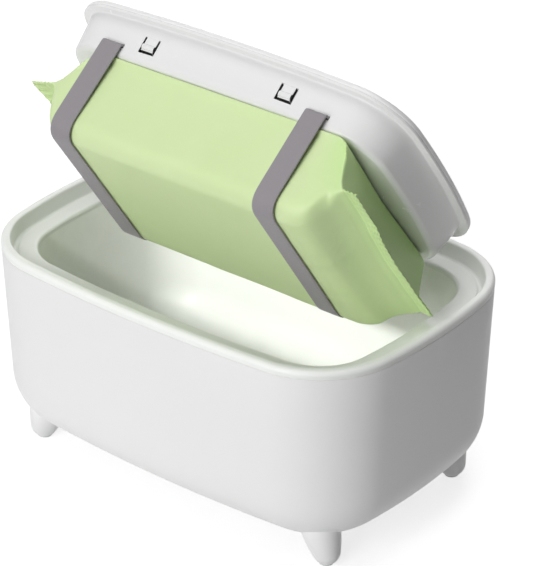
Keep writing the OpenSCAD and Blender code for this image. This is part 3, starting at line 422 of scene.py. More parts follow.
def makeCover():
    edge, low, radius, inset = lid["edge"], lid["coverLow"], lid["edgeRadius"], lid["inset"]
    section = crownLine(0)[::-1]
    section += arcPoints((inset + radius, lid["edgeHeight"] - radius), radius, 98, 180, 11)
    section += [(inset, low + edge), (inset + edge, low), (inset + lid["wall"], low)]
    section += crownLine(lid["wall"])
    obj = sweepOutline("lidCover", section)
    through, gap, seat = lid["through"], panel["gap"], panel["seat"]
    wide, deep = panel["lensWidth"], panel["lensDepth"]
    lens = (panel["x"], port["y"], lid["top"])
    cut(obj,
        roundedBlock("bezelOpening", (port["bezelWidth"] + gap, port["bezelDepth"] + gap, through),
                     (0, port["bezelY"], lid["top"]), port["radius"], 12),
        roundedBlock("lensOpening", (wide + gap, deep + gap, 2 * panel["lensThick"]), lens, panel["side"], 6),
        roundedBlock("lensHole", (wide - seat, deep - seat, through), lens, panel["side"], 6),
        *(rod("buttonHole", panel["buttonRadius"] + panel["buttonClear"], through,
              (panel["x"], port["y"] + side * panel["buttonGap"], lid["top"])) for side in (-1, 1)))
    softenEdges(obj, lid["softEdge"])
    smooth(obj)
    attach(openWithLid(obj), "lid")
    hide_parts("lid_cover")
    return obj


# lid tray: the plug that drops into the tub, with its flange and arms
plug = {
    "step": 0.0045, "depth": 0.0194, "taper": 0.0023, "radius": 0.0031, "wall": 0.002,
    "flangeRadius": 0.0005, "stepRadius": 0.0009, "slotDepth": 0.009,
    "plateWidth": 0.120, "plateDepth": 0.060, "plateRadius": 0.008,
    "tabX": 0.042, "tabWidth": 0.0072, "tabTop": 0.0054, "tabHeight": 0.0071, "tabSlot": 0.0013,
    "tabMiddle": 0.01, "softEdge": 0.0002,
    "strapX": 0.0625, "strapWidth": 0.0122, "strapDrop": 0.0133, "strapThick": 0.001,
    "strapClear": 0.0002, "strapSlot": 0.0020, "screwRadius": 0.00125, "recessRadius": 0.0029,
    "recessDepth": 0.0028,
}
plug["inset"] = lid["inset"] + plug["step"]


def plugIn(depth):
    return plug["inset"] + plug["taper"] * depth / plug["depth"]


def traySection():
    low, high, edge, wall = lid["flangeLow"], lid["coverLow"], lid["edge"], plug["wall"]
    radius, flange, step = plug["radius"], plug["flangeRadius"], plug["stepRadius"]
    lowRound = (plugIn(plug["depth"]) + radius, radius - plug["depth"])
    section = arcPoints(lowRound, radius - wall, 270, 180, 6)
    section += [(plug["inset"] + wall, high), (lid["inset"] + edge, high), (lid["inset"], high - edge)]
    section += arcPoints((lid["inset"] + flange, low + flange), flange, 180, 270, 4)
    section += arcPoints((plug["inset"] - step, low - step), step, 90, 0, 5)
    return section + arcPoints(lowRound, radius, 180, 270, 14)


def armSide():
    # an arm from the flange to the hinge, seen from the side
    low, high, hingeY = lid["flangeLow"], lid["coverLow"], hinge["y"]
    reach, rise = hingeY - (outline["depth"] / 2 - lid["inset"]) - lid["armIn"], hinge["z"] - hinge["ledgeZ"]
    root, back = hingeY - reach - plug["step"], hingeY - reach
    slope = math.degrees(math.atan2(rise - low, reach))
    side = [(root, low), (back + lid["flange"], low)]
    side += arcPoints((hingeY, rise), hinge["radius"], slope - 90, slope + 90, 20)
    return side + [(back, lid["edgeHeight"]), (back, high), (root, high)]


def makeTray():
    wall, depth = plug["wall"], plug["depth"]
    obj = sweepOutline("lidTray", traySection())
    side, rise = armSide(), hinge["z"] - hinge["ledgeZ"]
    for x in (-hinge["x"], hinge["x"]):
        cut(obj, plateOf("arm", side, x, rim["armWidth"]), operation="UNION")
        cut(obj, rod("armHole", rim["pinHole"], 0.03, (x, hinge["y"], rise), lyingAcross, 32))
    cut(obj, roundedBlock("plateOpening", (plug["plateWidth"], plug["plateDepth"], lid["through"]),
                          (0, port["y"], -depth), plug["plateRadius"], 10))
    front = -outlineY(plugIn(plug["tabMiddle"]) + wall / 2, plug["tabX"])
    tall = plug["tabHeight"] + plug["tabSlot"]
    for x in (-plug["tabX"], plug["tabX"]):
        cut(obj, roundedBlock("tabOpening", (plug["tabWidth"] + 2 * plug["tabSlot"], plug["slotDepth"], tall),
                              (x, front, -plug["tabTop"] - tall / 2)))
    strapY = outlineY(plugIn(plug["strapDrop"]) + wall / 2, plug["strapX"])
    slotSize = (plug["strapWidth"] + plug["strapClear"], plug["slotDepth"], plug["strapSlot"])
    for x in (-plug["strapX"], plug["strapX"]):
        for y in (-strapY, strapY):
            cut(obj, roundedBlock("strapSlot", slotSize, (x, y, -plug["strapDrop"])))
    for x in (-lid["screwX"], lid["screwX"]):
        for y in (-lid["screwY"], lid["screwY"]):
            cut(obj, rod("screwRecess", plug["recessRadius"], plug["recessDepth"], (x, y, -depth)),
                rod("screwHole", plug["screwRadius"], 0.01, (x, y, -depth)))
    softenEdges(obj, plug["softEdge"])
    smooth(obj)
    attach(openWithLid(obj), "lid")
    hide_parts("lid_tray")
    return obj


lidCover = makeCover()
lidTray = makeTray()
print("lid made")


# snap tabs: tongues left standing in the front wall of the plug, each with a ridge across it
tabRidge = {"half": 0.0014, "out": 0.0009, "rise": 0.0020, "steps": 14}


def makeTab(name, side):
    top, wall, steps = plug["tabTop"], plug["wall"], tabRidge["steps"]
    low = top + plug["tabHeight"]
    points = [(-outlineY(plugIn(top), plug["tabX"]), -top)]
    for turn in (math.pi * i / steps for i in range(steps + 1)):
        depth = low - tabRidge["rise"] - tabRidge["half"] * math.cos(turn)
        points.append((-outlineY(plugIn(depth), plug["tabX"]) - tabRidge["out"] * math.sin(turn), -depth))
    points.append((-outlineY(plugIn(low), plug["tabX"]), -low))
    points.append((-outlineY(plugIn(low), plug["tabX"]) + wall, -low))
    points.append((-outlineY(plugIn(top), plug["tabX"]) + wall, -top))
    obj = plateOf(name, points, side * plug["tabX"], plug["tabWidth"], 0.00022)
    smooth(obj, 45)
    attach(openWithLid(obj), name.replace("snapTab", "snap_tab_").lower())
    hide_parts(name.replace("snapTab", "snap_tab_").lower())
    return obj


snapTabs = [makeTab("snapTabLeft", -1), makeTab("snapTabRight", 1)]


# straps: flat woven bands round the pack, from bars behind the plug's walls
strap = {
    "barY": 0.05147, "barRadius": 0.0015, "packY": -0.006, "packDepth": 0.098, "packTop": 0.0197,
    "packHeight": 0.046, "bend": 0.0096, "slotBend": 0.0016, "loop": 0.00205, "gap": 0.0003,
    "barGap": 0.00005, "strips": 8, "floorSteps": 12,
}


def softTurn(a, b, c, radius, steps):
    # a rounded turn at b, on the way from a to c
    a, b, c = Vector(a), Vector(b), Vector(c)
    p, q = b + (a - b).normalized() * radius, b + (c - b).normalized() * radius
    return [tuple(p * (1 - t) ** 2 + b * 2 * t * (1 - t) + q * t ** 2)
            for t in (i / steps for i in range(steps + 1))]


def strapLine():
    # the line in depth and height: down the front, under the pack and up the back
    drop, thick, steps = plug["strapDrop"], plug["strapThick"], strap["floorSteps"]
    out = outlineY(plugIn(drop) + plug["wall"], plug["strapX"]) + plug["wall"] + 2 * thick
    low = -(strap["packTop"] + strap["packHeight"] + strap["gap"] + thick / 2)
    middle = (strap["packY"], low)
    halves = []
    for side in (-1, 1):
        bar = (side * strap["barY"], -drop + strap["barRadius"] + strap["barGap"] + thick / 2)
        slotPoint = (side * out, -drop)
        turn = (strap["packY"] + side * (strap["packDepth"] / 2 + strap["gap"] + thick / 2), low)
        loop = arcPoints(bar, strap["loop"], 150, -90, 14)
        if side > 0:
            loop = [(2 * bar[0] - y, z) for y, z in loop]
        halves.append(loop + softTurn(loop[-1], slotPoint, turn, strap["slotBend"], 6)
                      + softTurn(slotPoint, turn, middle, strap["bend"], 14))
    front, back = halves
    start, span = front[-1][0], back[-1][0] - front[-1][0]
    return front + [(start + span * i / steps, low) for i in range(1, steps)] + back[::-1]


def mapBand(obj, middle, line):
    # a map in metres: across the band, and along its line
    lengths = [0.0]
    for here, there in zip(line, line[1:]):
        lengths.append(lengths[-1] + (Vector(there) - Vector(here)).length)
    bandMap = obj.data.uv_layers.new(name="bandMap")
    reach = {}
    for vertex in obj.data.vertices:
        spot = Vector((vertex.co.y, vertex.co.z))
        nearest = min(range(len(line)), key=lambda i: (Vector(line[i]) - spot).length_squared)
        reach[vertex.index] = (vertex.co.x - middle, lengths[nearest])
    for loop in obj.data.loops:
        bandMap.data[loop.index].uv = reach[loop.vertex_index]


def makeStrap(name, side):
    width, strips, points = plug["strapWidth"], strap["strips"], strapLine()
    start = side * plug["strapX"] - width / 2
    obj = chain(name, [(start, y, z) for y, z in points])
    for step in range(strips):
        reach = start + width * step / strips
        bpy.ops.mesh.select_mode(type="EDGE")
        selectMesh("DESELECT")
        pick(obj, lambda e: all(abs(v.co.x - reach) < tiny for v in e.verts))
        bpy.ops.mesh.extrude_region_move(TRANSFORM_OT_translate={"value": (width / strips, 0, 0)})
    objectMode()
    applyModifier(obj, "SOLIDIFY", thickness=plug["strapThick"], offset=0, use_even_offset=True)
    softenEdges(obj, 0.0003)
    finishSolid(obj, 1e-7)
    mapBand(obj, side * plug["strapX"], points)
    smooth(obj, 50)
    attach(openWithLid(obj), "lid")
    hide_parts(name.replace("strap", "strap_").lower())
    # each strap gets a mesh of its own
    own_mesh(obj)
    return obj


straps = [makeStrap("strapLeft", -1), makeStrap("strapRight", 1)]
print("tabs and straps made")


# wipes pack: a pillow of film with a flat crimped fin at each end
pack = {
    "y": -0.006, "halfDepth": 0.049, "top": -0.0197, "low": -0.0657,
    "tipLeft": -0.0950, "rootLeft": -0.0815, "rootRight": 0.0954, "tipRight": 0.1030,
    "bodyLeft": -0.0600, "bodyRight": 0.0740, "film": 0.0005, "around": 216, "seed": 11,
    # the radii of the long edges, and how far the film turns out by the plug
    "edge": 0.0095, "topEdge": 0.0008, "backEdge": 0.0045, "flare": 0.0014, "flareHeight": 0.0045,
    # how the right-hand fin reaches out, spreads and sags towards the back
    "backReach": 0.0045, "backSpread": 0.004, "backSag": 0.0028, "reachFrom": (0.060, 0.086),
    # the half heights over which the film is thin, and over which the plug presses on it
    "thin": (0.001, 0.018), "pressed": (0.010, 0.020), "leftNarrow": 0.02,
    # how far the upper and lower film stand off the middle, as shares of the half height
    "endShape": [(-0.0955, -0.13, 0.13), (-0.0900, -0.07, 0.08), (-0.0845, 0.01, 0.01), (-0.0822, 0.06, 0.02),
                 (-0.0806, 0.13, 0.16), (-0.0790, 0.22, 0.42), (-0.0770, 0.40, 0.63), (-0.0745, 0.61, 0.80),
                 (-0.0712, 0.82, 0.93), (-0.0670, 0.96, 0.99),
                 (-0.0600, 1, 1), (0.0740, 1, 1), (0.0795, 0.985, 0.95), (0.0832, 0.93, 0.86),
                 (0.0856, 0.82, 0.73), (0.0876, 0.64, 0.57), (0.0897, 0.40, 0.40), (0.0922, 0.17, 0.24),
                 (0.0945, 0.03, 0.11), (0.0962, -0.01, 0.03), (0.1040, -0.03, 0.03)],
}
# the small forms of its film: how high they are, how often they come, and from where to where
film = {
    "crimp": 0.00034, "crimpPitch": 0.0020, "wave": 0.0008, "waveRate": (40, 45), "fin": (0.0004, 0.003),
    "teeth": 0.0011, "toothPitch": 4.6, "toothMean": 0.0006, "ragged": 0.0013, "raggedRate": 60,
    "bow": 0.0034, "frontCorner": (0.036, 0.050), "backCorner": (0.024, 0.038),
    "loose": (0.002, 0.012), "dent": 0.0006, "dentRate": (22, 26), "fold": 0.0007, "foldRate": (14, 95),
    "foldRight": (0.045, 0.090), "foldLeft": (-0.082, -0.045), "topHold": 0.85, "topRun": 0.003,
}


def blendOver(value, start, end):
    t = min(max((value - start) / (end - start), 0), 1)
    return t * t * (3 - 2 * t)


def shapeShares(x):
    # a smooth line through the end shape's places
    table = pack["endShape"]
    x = min(max(x, table[0][0] + tiny), table[-1][0] - tiny)
    i = next(n for n in range(len(table) - 1) if table[n][0] <= x <= table[n + 1][0])
    before, here, there = table[max(i - 1, 0)], table[i], table[i + 1]
    after = table[min(i + 2, len(table) - 1)]
    width = there[0] - here[0]
    t = (x - here[0]) / width
    shares = []
    for k in (1, 2):
        slopeHere = (there[k] - before[k]) / max(there[0] - before[0], tiny) * width
        slopeThere = (after[k] - here[k]) / max(after[0] - here[0], tiny) * width
        shares.append((2 * t ** 3 - 3 * t * t + 1) * here[k] + (t ** 3 - 2 * t * t + t) * slopeHere
                      + (3 * t * t - 2 * t ** 3) * there[k] + (t ** 3 - t * t) * slopeThere)
    return shares


def filmHeights(x):
    # the middle of the film's two sheets at x, and half of what lies between them
    up, down = shapeShares(x)
    full = (pack["top"] - pack["low"]) / 2 - pack["film"] / 2
    middle = (pack["top"] + pack["low"]) / 2 + (up - down) / 2 * full
    return middle, pack["film"] / 2 + max((up + down) / 2 * full, 0)


def packPoint(x, turn):
    # a point of the section at x; the turn runs once round it from the front's middle
    middle, height = filmHeights(x)
    thin = 1 - blendOver(height, *pack["thin"])
    depth = pack["halfDepth"] * (1 - pack["leftNarrow"] * thin * (x < 0))
    run = turn * (4 * depth + 4 * height)
    y, z = -depth, 0.0
    for stepY, stepZ, length in ((0, 1, height), (1, 0, 2 * depth), (0, -1, 2 * height),
                                 (-1, 0, 2 * depth), (0, 1, height)):
        step = min(run, length)
        y, z, run = y + step * stepY, z + step * stepZ, run - step
        if run <= 0:
            break
    # the corners are drawn in to a radius
    corner = pack["topEdge"] if z > 0 else pack["edge"] if y < 0 else pack["backEdge"]
    radius = min(corner, height * 0.98)
    overY, overZ = abs(y) - (depth - radius), abs(z) - (height - radius)
    if overY > 0 and overZ > 0 and radius > tiny:
        angle = math.atan2(overZ, overY)
        y = math.copysign(depth - radius + radius * math.cos(angle), y)
        z = math.copysign(height - radius + radius * math.sin(angle), z)
    # the film turns out a little where the plug presses on it
    flare = blendOver(z, height - pack["flareHeight"], height) * blendOver(height, *pack["pressed"])
    y += math.copysign(pack["flare"] * flare ** 2, y) * blendOver(abs(y), depth - 0.010, depth - 0.001)
    if x > 0:
        x += pack["backReach"] * blendOver(y, 0, depth) * blendOver(x, *pack["reachFrom"])
        y += pack["backSpread"] * thin * blendOver(y, 0, depth)
        z -= pack["backSag"] * thin * blendOver(y, -depth, depth)
    return Vector((x, pack["y"] + y, middle + z))


def packStations():
    # the places of the rings, closer together over the fins and the ends
    fine, middling, wide = 0.0005, 0.0008, 0.0024
    places = [pack[key] for key in ("tipLeft", "rootLeft", "bodyLeft", "bodyRight", "rootRight", "tipRight")]
    stations = []
    for start, end, step in zip(places, places[1:], (fine, middling, wide, middling, fine)):
        count = round((end - start) / step)
        stations += [start + (end - start) * i / count for i in range(count)]
    return stations + [pack["tipRight"]]


def shapeFilm(place, x):
    # the fins' crimps and teeth, and the dents and folds of slack film, at a point of the ring at x
    middle, height = filmHeights(x)
    side = 1 if place.z > middle else -1
    onFin = 1 - blendOver(height, *film["fin"])
    rateX, rateY = film["waveRate"]
    place.z += onFin * film["crimp"] * math.sin(2 * math.pi * x / film["crimpPitch"])
    place.z += onFin * film["wave"] * noise.noise(Vector((x * rateX, place.y * rateY, pack["seed"])))
    # teeth along the cut edges; the left-hand one bows out between its corners
    near = blendOver(x, pack["rootRight"], pack["tipRight"])
    near -= 1 - blendOver(x, pack["tipLeft"], pack["rootLeft"])
    teeth = film["teeth"] * abs(((place.y * 1000 / film["toothPitch"]) % 1) * 2 - 1)
    teeth += film["ragged"] * noise.noise(Vector((place.y * film["raggedRate"], 3.1, near)))
    corner = blendOver(-place.y, *film["frontCorner"]) + blendOver(place.y, *film["backCorner"])
    bow = film["bow"] * (1 - corner) * -near if near < 0 else 0
    place.x += near * (teeth - film["toothMean"]) + bow
    # wide shallow dents, and folds that run in from the ends
    loose = blendOver(height, *film["loose"])
    rateX, rateY = film["dentRate"]
    dent = film["dent"] * noise.noise(Vector((x * rateX, place.y * rateY, place.z * rateY + pack["seed"])))
    endward = max(blendOver(x, *film["foldRight"]), 1 - blendOver(x, *film["foldLeft"]))
    rateX, rateY = film["foldRate"]
    fold = endward * film["fold"] * noise.noise(Vector((x * rateX, place.y * rateY, side * 7.0)))
    inward = Vector((0, pack["y"] - place.y, middle - place.z)).normalized()
    topSide = blendOver(place.z, pack["top"] - film["topRun"], pack["top"])
    return place + inward * loose * (1 - film["topHold"] * topSide) * (abs(dent) + abs(fold))


def makePack():
    stations = packStations()
    rings = len(stations) - 1
    deselectAll()
    bpy.ops.mesh.primitive_grid_add(x_subdivisions=rings, y_subdivisions=pack["around"], size=2)
    obj = bpy.context.object
    obj.name = "wipesPack"
    for vertex in obj.data.vertices:
        x = stations[round((vertex.co.x + 1) / 2 * rings)]
        vertex.co = shapeFilm(packPoint(x, (vertex.co.y + 1) / 2), x)
    editMode(obj)
    mergeDoubles(tiny)
    for tip in (stations[0], stations[-1]):
        closeHole(obj, lambda e: abs(e.verts[0].co.x - tip) < 0.003)
    faceOutwards()
    smooth(obj, 60)
    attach(openWithLid(obj), "lid")
    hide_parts("wipes_pack")
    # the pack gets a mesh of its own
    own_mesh(obj)
    return obj


wipesPack = makePack()
print("pack made")


# feet: leaning cones with round tips
foot = {
    "x": 0.09251, "y": 0.05093, "radius": 0.007, "flare": 16.5, "lean": 17, "padHeight": 0.001,
    "padRadius": 0.0039, "length": 0.021, "belly": 0.0034,
    "shares": (0.12, 0.25, 0.37, 0.5, 0.62, 0.75, 0.87, 1),
}


def makeFoot(name, sideX, sideY):
    radius, flare, length = foot["radius"], math.radians(foot["flare"]), foot["length"]
    x, y = sideX * foot["x"], sideY * foot["y"]
    section = arcPoints((0, 0), radius, -90, -foot["flare"], 18)
    for share in foot["shares"]:
        reach = share * length
        wide = radius / math.cos(flare) + reach * math.tan(flare)
        section.append((wide - foot["belly"] * share ** 2, reach))
    section.append((0, length))
    obj = chain(name, [(max(r, 0), 0, z) for r, z in section])
    selectMesh()
    bpy.ops.mesh.spin(steps=56, angle=2 * math.pi, center=(0, 0, 0), axis=(0, 0, 1))
    objectMode()
    finishSolid(obj)
    obj.location = (x, y, foot["padHeight"] + math.sqrt(radius ** 2 - foot["padRadius"] ** 2))
    obj.rotation_euler = (0, -sideX * math.radians(foot["lean"]), 0)
    settle(obj)
    cut(obj, roundedBlock("floorCut", (0.05, 0.05, 0.02), (x, y, foot["padHeight"] - 0.01), 0.001))
    softenEdges(obj, 0.0004, 2, 30)
    smooth(obj, 45)
    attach(obj, "base")
    return obj


feet = []
for name, sideX, sideY in (("footFrontLeft", -1, -1), ("footFrontRight", 1, -1),
                           ("footBackLeft", -1, 1), ("footBackRight", 1, 1)):
    piece = makeFoot(name, sideX, sideY)
    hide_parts(name.replace("foot", "foot_").replace("Left", "_left").replace("Right", "_right")
                .lower())
    feet.append(piece)
print("feet made")


# small pieces: merged copies of the CAD's own shapes, with their edges rounded as moulded
smallPieces = {
    "flipCap": ("flip_cap", "flip_cap", "cap_plastic", 0.0005),
    "portBezel": ("port_bezel", "lid", "lid_plastic", 0.0003),
    "capLatch": ("cap_latch", "cap_latch", "button_plastic", 0.0003),
    "powerButton": ("power_button", "power_button", "button_plastic", 0.0004),
    "modeButton": ("mode_button", "mode_button", "button_plastic", 0.0004),
    "displayWindow": ("display_window", "lid", "smoked_window", 0.0002),
    "powerInlet": ("power_inlet", "base", "black_plastic", 0.0003),
    "capSeal": ("cap_seal", "flip_cap", "clear_silicone", 0.0002),
    "footPads": ("foot_pads", "base", "clear_silicone", 0.0002),
}
small = {}
for name, (nodeName, body, slot, edge) in smallPieces.items():
    small[name] = softCopy(name, nodeName, edge)
    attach(small[name], body)
    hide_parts(nodeName)
print("small pieces made")


# materials: what sets up the nodes, then the shared effects as node groups
def feed(value, socket):
    # an output is wired to the socket, and anything else is set on it
    if isinstance(value, bpy.types.NodeSocket):
        socket.id_data.links.new(value, socket)
    elif isinstance(value, tuple) and socket.type == "RGBA":
        socket.default_value = (*value, 1)
    else:
        socket.default_value = value


def give(node, **values):
    # each value goes to the input of its name, or else to the node's own setting
    for name, value in values.items():
        label = name.replace("_", " ")
        if label in node.inputs:
            feed(value, node.inputs[label])
        else:
            setattr(node, name, value)


def addNode(tree, kind, **values):
    node = tree.nodes.new("ShaderNode" + kind)
    give(node, **values)
    return node


def texture(place, kind, **values):
    return addNode(place.id_data, "Tex" + kind, Vector=place, **values).outputs


def maths(operation, first, second=0.0):
    source = first if isinstance(first, bpy.types.NodeSocket) else second
    node = addNode(source.id_data, "Math", operation=operation)
    feed(first, node.inputs[0])
    feed(second, node.inputs[1])
    return node.outputs[0]


def plus(first, second):
    return maths("ADD", first, second)


def minus(first, second):
    return maths("SUBTRACT", first, second)


def times(first, second):
    return maths("MULTIPLY", first, second)


def arches(value):
    # a row of half waves, one to each step of the value
    return maths("ABSOLUTE", maths("SINE", times(value, math.pi)))


def sideways(place):
    return addNode(place.id_data, "SeparateXYZ", Vector=place).outputs["X"]


def ramp(source, stops):
    node = addNode(source.id_data, "ValToRGB", Fac=source)
    for element, (position, value) in zip(node.color_ramp.elements, stops):
        element.position = position
        element.color = (*grey(value), 1)
    return node.outputs["Color"]


def mixColours(factor, first, second):
    node = addNode(factor.id_data, "Mix", data_type="RGBA")
    for number, value in ((0, factor), (6, first), (7, second)):
        feed(value, node.inputs[number])
    return node.outputs[2]


def grey(value):
    return (value, value, value)


def newGroup(name, inputs, outputs):
    group = bpy.data.node_groups.new(name, "ShaderNodeTree")
    group.interface.new_socket(name="Vector", in_out="INPUT", socket_type="NodeSocketVector")
    for label, value in inputs.items():
        socket = group.interface.new_socket(name=label, in_out="INPUT", socket_type="NodeSocketFloat")
        socket.default_value = value
    for label in outputs:
        group.interface.new_socket(name=label, in_out="OUTPUT", socket_type="NodeSocketFloat")
    return group, group.nodes.new("NodeGroupInput").outputs, group.nodes.new("NodeGroupOutput").inputs


def mouldedGrainGroup():
    # the fine spark grain of a moulding, with slow drifts in sheen and tone
    group, start, end = newGroup(
        "mouldedGrain", {"Grain Scale": 2600.0, "Roughness": 0.35, "Roughness Drift": 0.05},
        ("Height", "Roughness", "Tone"))
    place, scale = start["Vector"], start["Grain Scale"]
    grain = texture(place, "Noise", Scale=scale, Detail=3.0, Roughness=0.6)
    pits = texture(place, "Voronoi", feature="SMOOTH_F1", Smoothness=0.8, Scale=times(scale, 0.55))
    flow = texture(place, "Noise", Scale=16.0, Detail=2.0, Roughness=0.5, Distortion=0.6)
    smear = texture(place, "Noise", Scale=75.0, Detail=4.0, Roughness=0.65, Distortion=1.2)
    feed(plus(times(grain["Fac"], 0.6), times(pits["Distance"], 0.7)), end["Height"])
    drift = plus(minus(flow["Fac"], 0.5), times(minus(smear["Fac"], 0.5), 0.7))
    feed(plus(start["Roughness"], times(drift, start["Roughness Drift"])), end["Roughness"])
    feed(flow["Fac"], end["Tone"])
    return group


def wornEdgeGroup():
    # a mask of the edges, broken up a little, for handling marks
    group, start, end = newGroup("wornEdge", {"Amount": 1.0}, ("Mask",))
    edges = ramp(addNode(group, "NewGeometry").outputs["Pointiness"], [(0.52, 0.0), (0.60, 1.0)])
    patches = texture(start["Vector"], "Noise", Scale=120.0, Detail=3.0)
    broken = ramp(patches["Fac"], [(0.42, 0.0), (0.62, 1.0)])
    feed(times(times(edges, broken), start["Amount"]), end["Mask"])
    return group


def wovenBandGroup():
    # warp and weft of a flat woven elastic, on a map in metres
    group, start, end = newGroup("wovenBand", {"Cord Width": 0.0007, "Pick Length": 0.0009},
                                 ("Height", "Shade", "Fuzz"))
    split = addNode(group, "SeparateXYZ", Vector=start["Vector"]).outputs
    across = maths("DIVIDE", split["X"], start["Cord Width"])
    along = maths("DIVIDE", split["Y"], start["Pick Length"])
    weft = arches(plus(along, times(maths("FLOOR", across), 0.5)))
    height = plus(times(arches(across), 0.6), times(weft, 0.4))
    fibres = texture(start["Vector"], "Noise", Scale=5200.0, Detail=3.0, Roughness=0.7)
    feed(plus(height, times(fibres["Fac"], 0.25)), end["Height"])
    feed(height, end["Shade"])
    feed(fibres["Fac"], end["Fuzz"])
    return group


def filmCrinkleGroup():
    # thin film: sharp small creases over slow slack ones
    group, start, end = newGroup("filmCrinkle", {"Crease Scale": 60.0}, ("Height", "Tone"))
    bend = texture(start["Vector"], "Noise", Scale=28.0, Detail=3.0, Roughness=0.5)
    warped = addNode(group, "VectorMath", operation="MULTIPLY_ADD")
    for socket, value in zip(warped.inputs, (bend["Color"], grey(0.02), start["Vector"])):
        feed(value, socket)
    creases = texture(warped.outputs[0], "Voronoi", feature="DISTANCE_TO_EDGE", Scale=start["Crease Scale"])
    sharp = ramp(creases["Distance"], [(0.0, 1.0), (0.09, 0.0)])
    feed(plus(times(sharp, 0.35), bend["Fac"]), end["Height"])
    feed(bend["Fac"], end["Tone"])
    return group


groups = {
    "grain": mouldedGrainGroup(), "edge": wornEdgeGroup(), "woven": wovenBandGroup(),
    "crinkle": filmCrinkleGroup(),
}


def newMaterial(name, mapName=""):
    # the material, its shader, and the object's own coordinates or those of a map
    material = bpy.data.materials.new(name)
    material.use_nodes = True
    tree = material.node_tree
    if mapName:
        place = addNode(tree, "UVMap", uv_map=mapName).outputs["UV"]
    else:
        place = addNode(tree, "TexCoord").outputs["Object"]
    return material, tree.nodes["Principled BSDF"], place


def useGroup(place, key, **values):
    node = place.id_data.nodes.new("ShaderNodeGroup")
    node.node_tree = groups[key]
    give(node, Vector=place, **values)
    return node.outputs


def useGrain(place, scale, roughness, drift):
    return useGroup(place, "grain", Grain_Scale=scale, Roughness=roughness, Roughness_Drift=drift)


def addBump(height, shader, strength, distance):
    bump = addNode(shader.id_data, "Bump", Strength=strength, Distance=distance, Height=height)
    feed(bump.outputs["Normal"], shader.inputs["Normal"])


def mouldedPlastic(name, colour, shade, roughness, grain=2600.0, wear=0.35, shine=0.35):
    # a moulding: its colour drifts between two near tones and pales at handled edges
    material, shader, place = newMaterial(name)
    surface = useGrain(place, grain, roughness, 0.06)
    edge = useGroup(place, "edge", Amount=wear)
    paler = tuple(min(1, c * 1.06 + 0.01) for c in colour)
    give(shader, Base_Color=mixColours(edge["Mask"], mixColours(surface["Tone"], colour, shade), paler),
         Roughness=surface["Roughness"], Specular_IOR_Level=shine)
    addBump(surface["Height"], shader, 0.35, 0.00002)
    return material


def drawnMetal(name, colour, shade, roughness, stretch):
    # turned or drawn metal: fine lines one way and a few dull patches
    material, shader, place = newMaterial(name)
    lines = addNode(place.id_data, "Mapping", vector_type="POINT", Vector=place, Scale=stretch)
    scratch = texture(lines.outputs["Vector"], "Noise", Scale=420.0, Detail=4.0, Roughness=0.7)
    dull = texture(place, "Noise", Scale=180.0, Detail=3.0)
    give(shader, Base_Color=mixColours(dull["Fac"], colour, shade), Metallic=1.0,
         Roughness=plus(times(scratch["Fac"], 0.22), roughness - 0.1))
    addBump(scratch["Fac"], shader, 0.25, 0.00002)
    return material


def fibreMaterial(name, colour, shade, scale, roughness=0.9, relief=0.0002):
    # foam or fibre: open cells over a clouded tone
    material, shader, place = newMaterial(name)
    cells = texture(place, "Voronoi", Scale=scale, Randomness=1.0)
    cloud = texture(place, "Noise", Scale=scale / 9, Detail=4.0)
    mask = times(plus(cells["Distance"], cloud["Fac"]), 0.6)
    give(shader, Base_Color=mixColours(mask, shade, colour),
         Roughness=plus(times(cloud["Fac"], 0.15), roughness - 0.08))
    addBump(cells["Distance"], shader, 0.6, relief)
    return material


def wovenMaterial(name, colour, shade):
    material, shader, place = newMaterial(name, "bandMap")
    weave = useGroup(place, "woven")
    mask = plus(times(weave["Shade"], 0.75), times(weave["Fuzz"], 0.3))
    give(shader, Base_Color=mixColours(mask, shade, colour), Roughness=plus(times(weave["Fuzz"], 0.2), 0.62),
         Sheen_Weight=0.25, Sheen_Roughness=0.5)
    addBump(weave["Height"], shader, 0.5, 0.00012)
    return material


# where painted shade deepens the film's green: along the pack, and up it from the plug, in tenths of a metre
paintedShadeSpread = {"along": [(0.72, 0.0), (0.92, 1.0)], "up": [(0.22, 0.25), (0.48, 1.0)], "upFrom": 0.7}


def filmMaterial(name, colour, shade, deep):
    # satin film, a little translucent to the wipes under it
    material, shader, place = newMaterial(name)
    crinkle = useGroup(place, "crinkle")
    grain = useGrain(place, 1500.0, 0.46, 0.12)
    # painted shade: the green is deeper at the right-hand end, which lies in shade, most of all by the plug
    lidUp = onLid.to_3x3() @ Vector((0, 0, 1))
    rise = addNode(place.id_data, "VectorMath", operation="DOT_PRODUCT")
    feed(place, rise.inputs[0])
    feed(tuple(lidUp), rise.inputs[1])
    height = minus(rise.outputs["Value"], onLid.translation.dot(lidUp))
    endward = ramp(times(sideways(place), 10.0), paintedShadeSpread["along"])
    upward = ramp(plus(times(height, 10.0), paintedShadeSpread["upFrom"]), paintedShadeSpread["up"])
    base = mixColours(crinkle["Tone"], colour, shade)
    give(shader, Base_Color=mixColours(times(endward, upward), base, deep), Roughness=grain["Roughness"],
         Subsurface_Weight=0.12, Subsurface_Radius=(0.003, 0.004, 0.002))
    addBump(crinkle["Height"], shader, 0.14, 0.0005)
    return material


def windowMaterial(name, colour, shade):
    # tinted gloss plastic, with faint wipe marks
    material, shader, place = newMaterial(name)
    surface = useGrain(place, 900.0, 0.22, 0.10)
    give(shader, Base_Color=mixColours(surface["Tone"], colour, shade), Roughness=surface["Roughness"],
         Specular_IOR_Level=0.35)
    return material


def siliconeMaterial(name, colour, shade):
    # cloudy soft rubber, which lets a little light in
    material, shader, place = newMaterial(name)
    surface = useGrain(place, 1400.0, 0.40, 0.12)
    give(shader, Base_Color=mixColours(surface["Tone"], colour, shade), Roughness=surface["Roughness"],
         Subsurface_Weight=0.4, Subsurface_Radius=grey(0.002))
    addBump(surface["Height"], shader, 0.2, 0.00002)
    return material


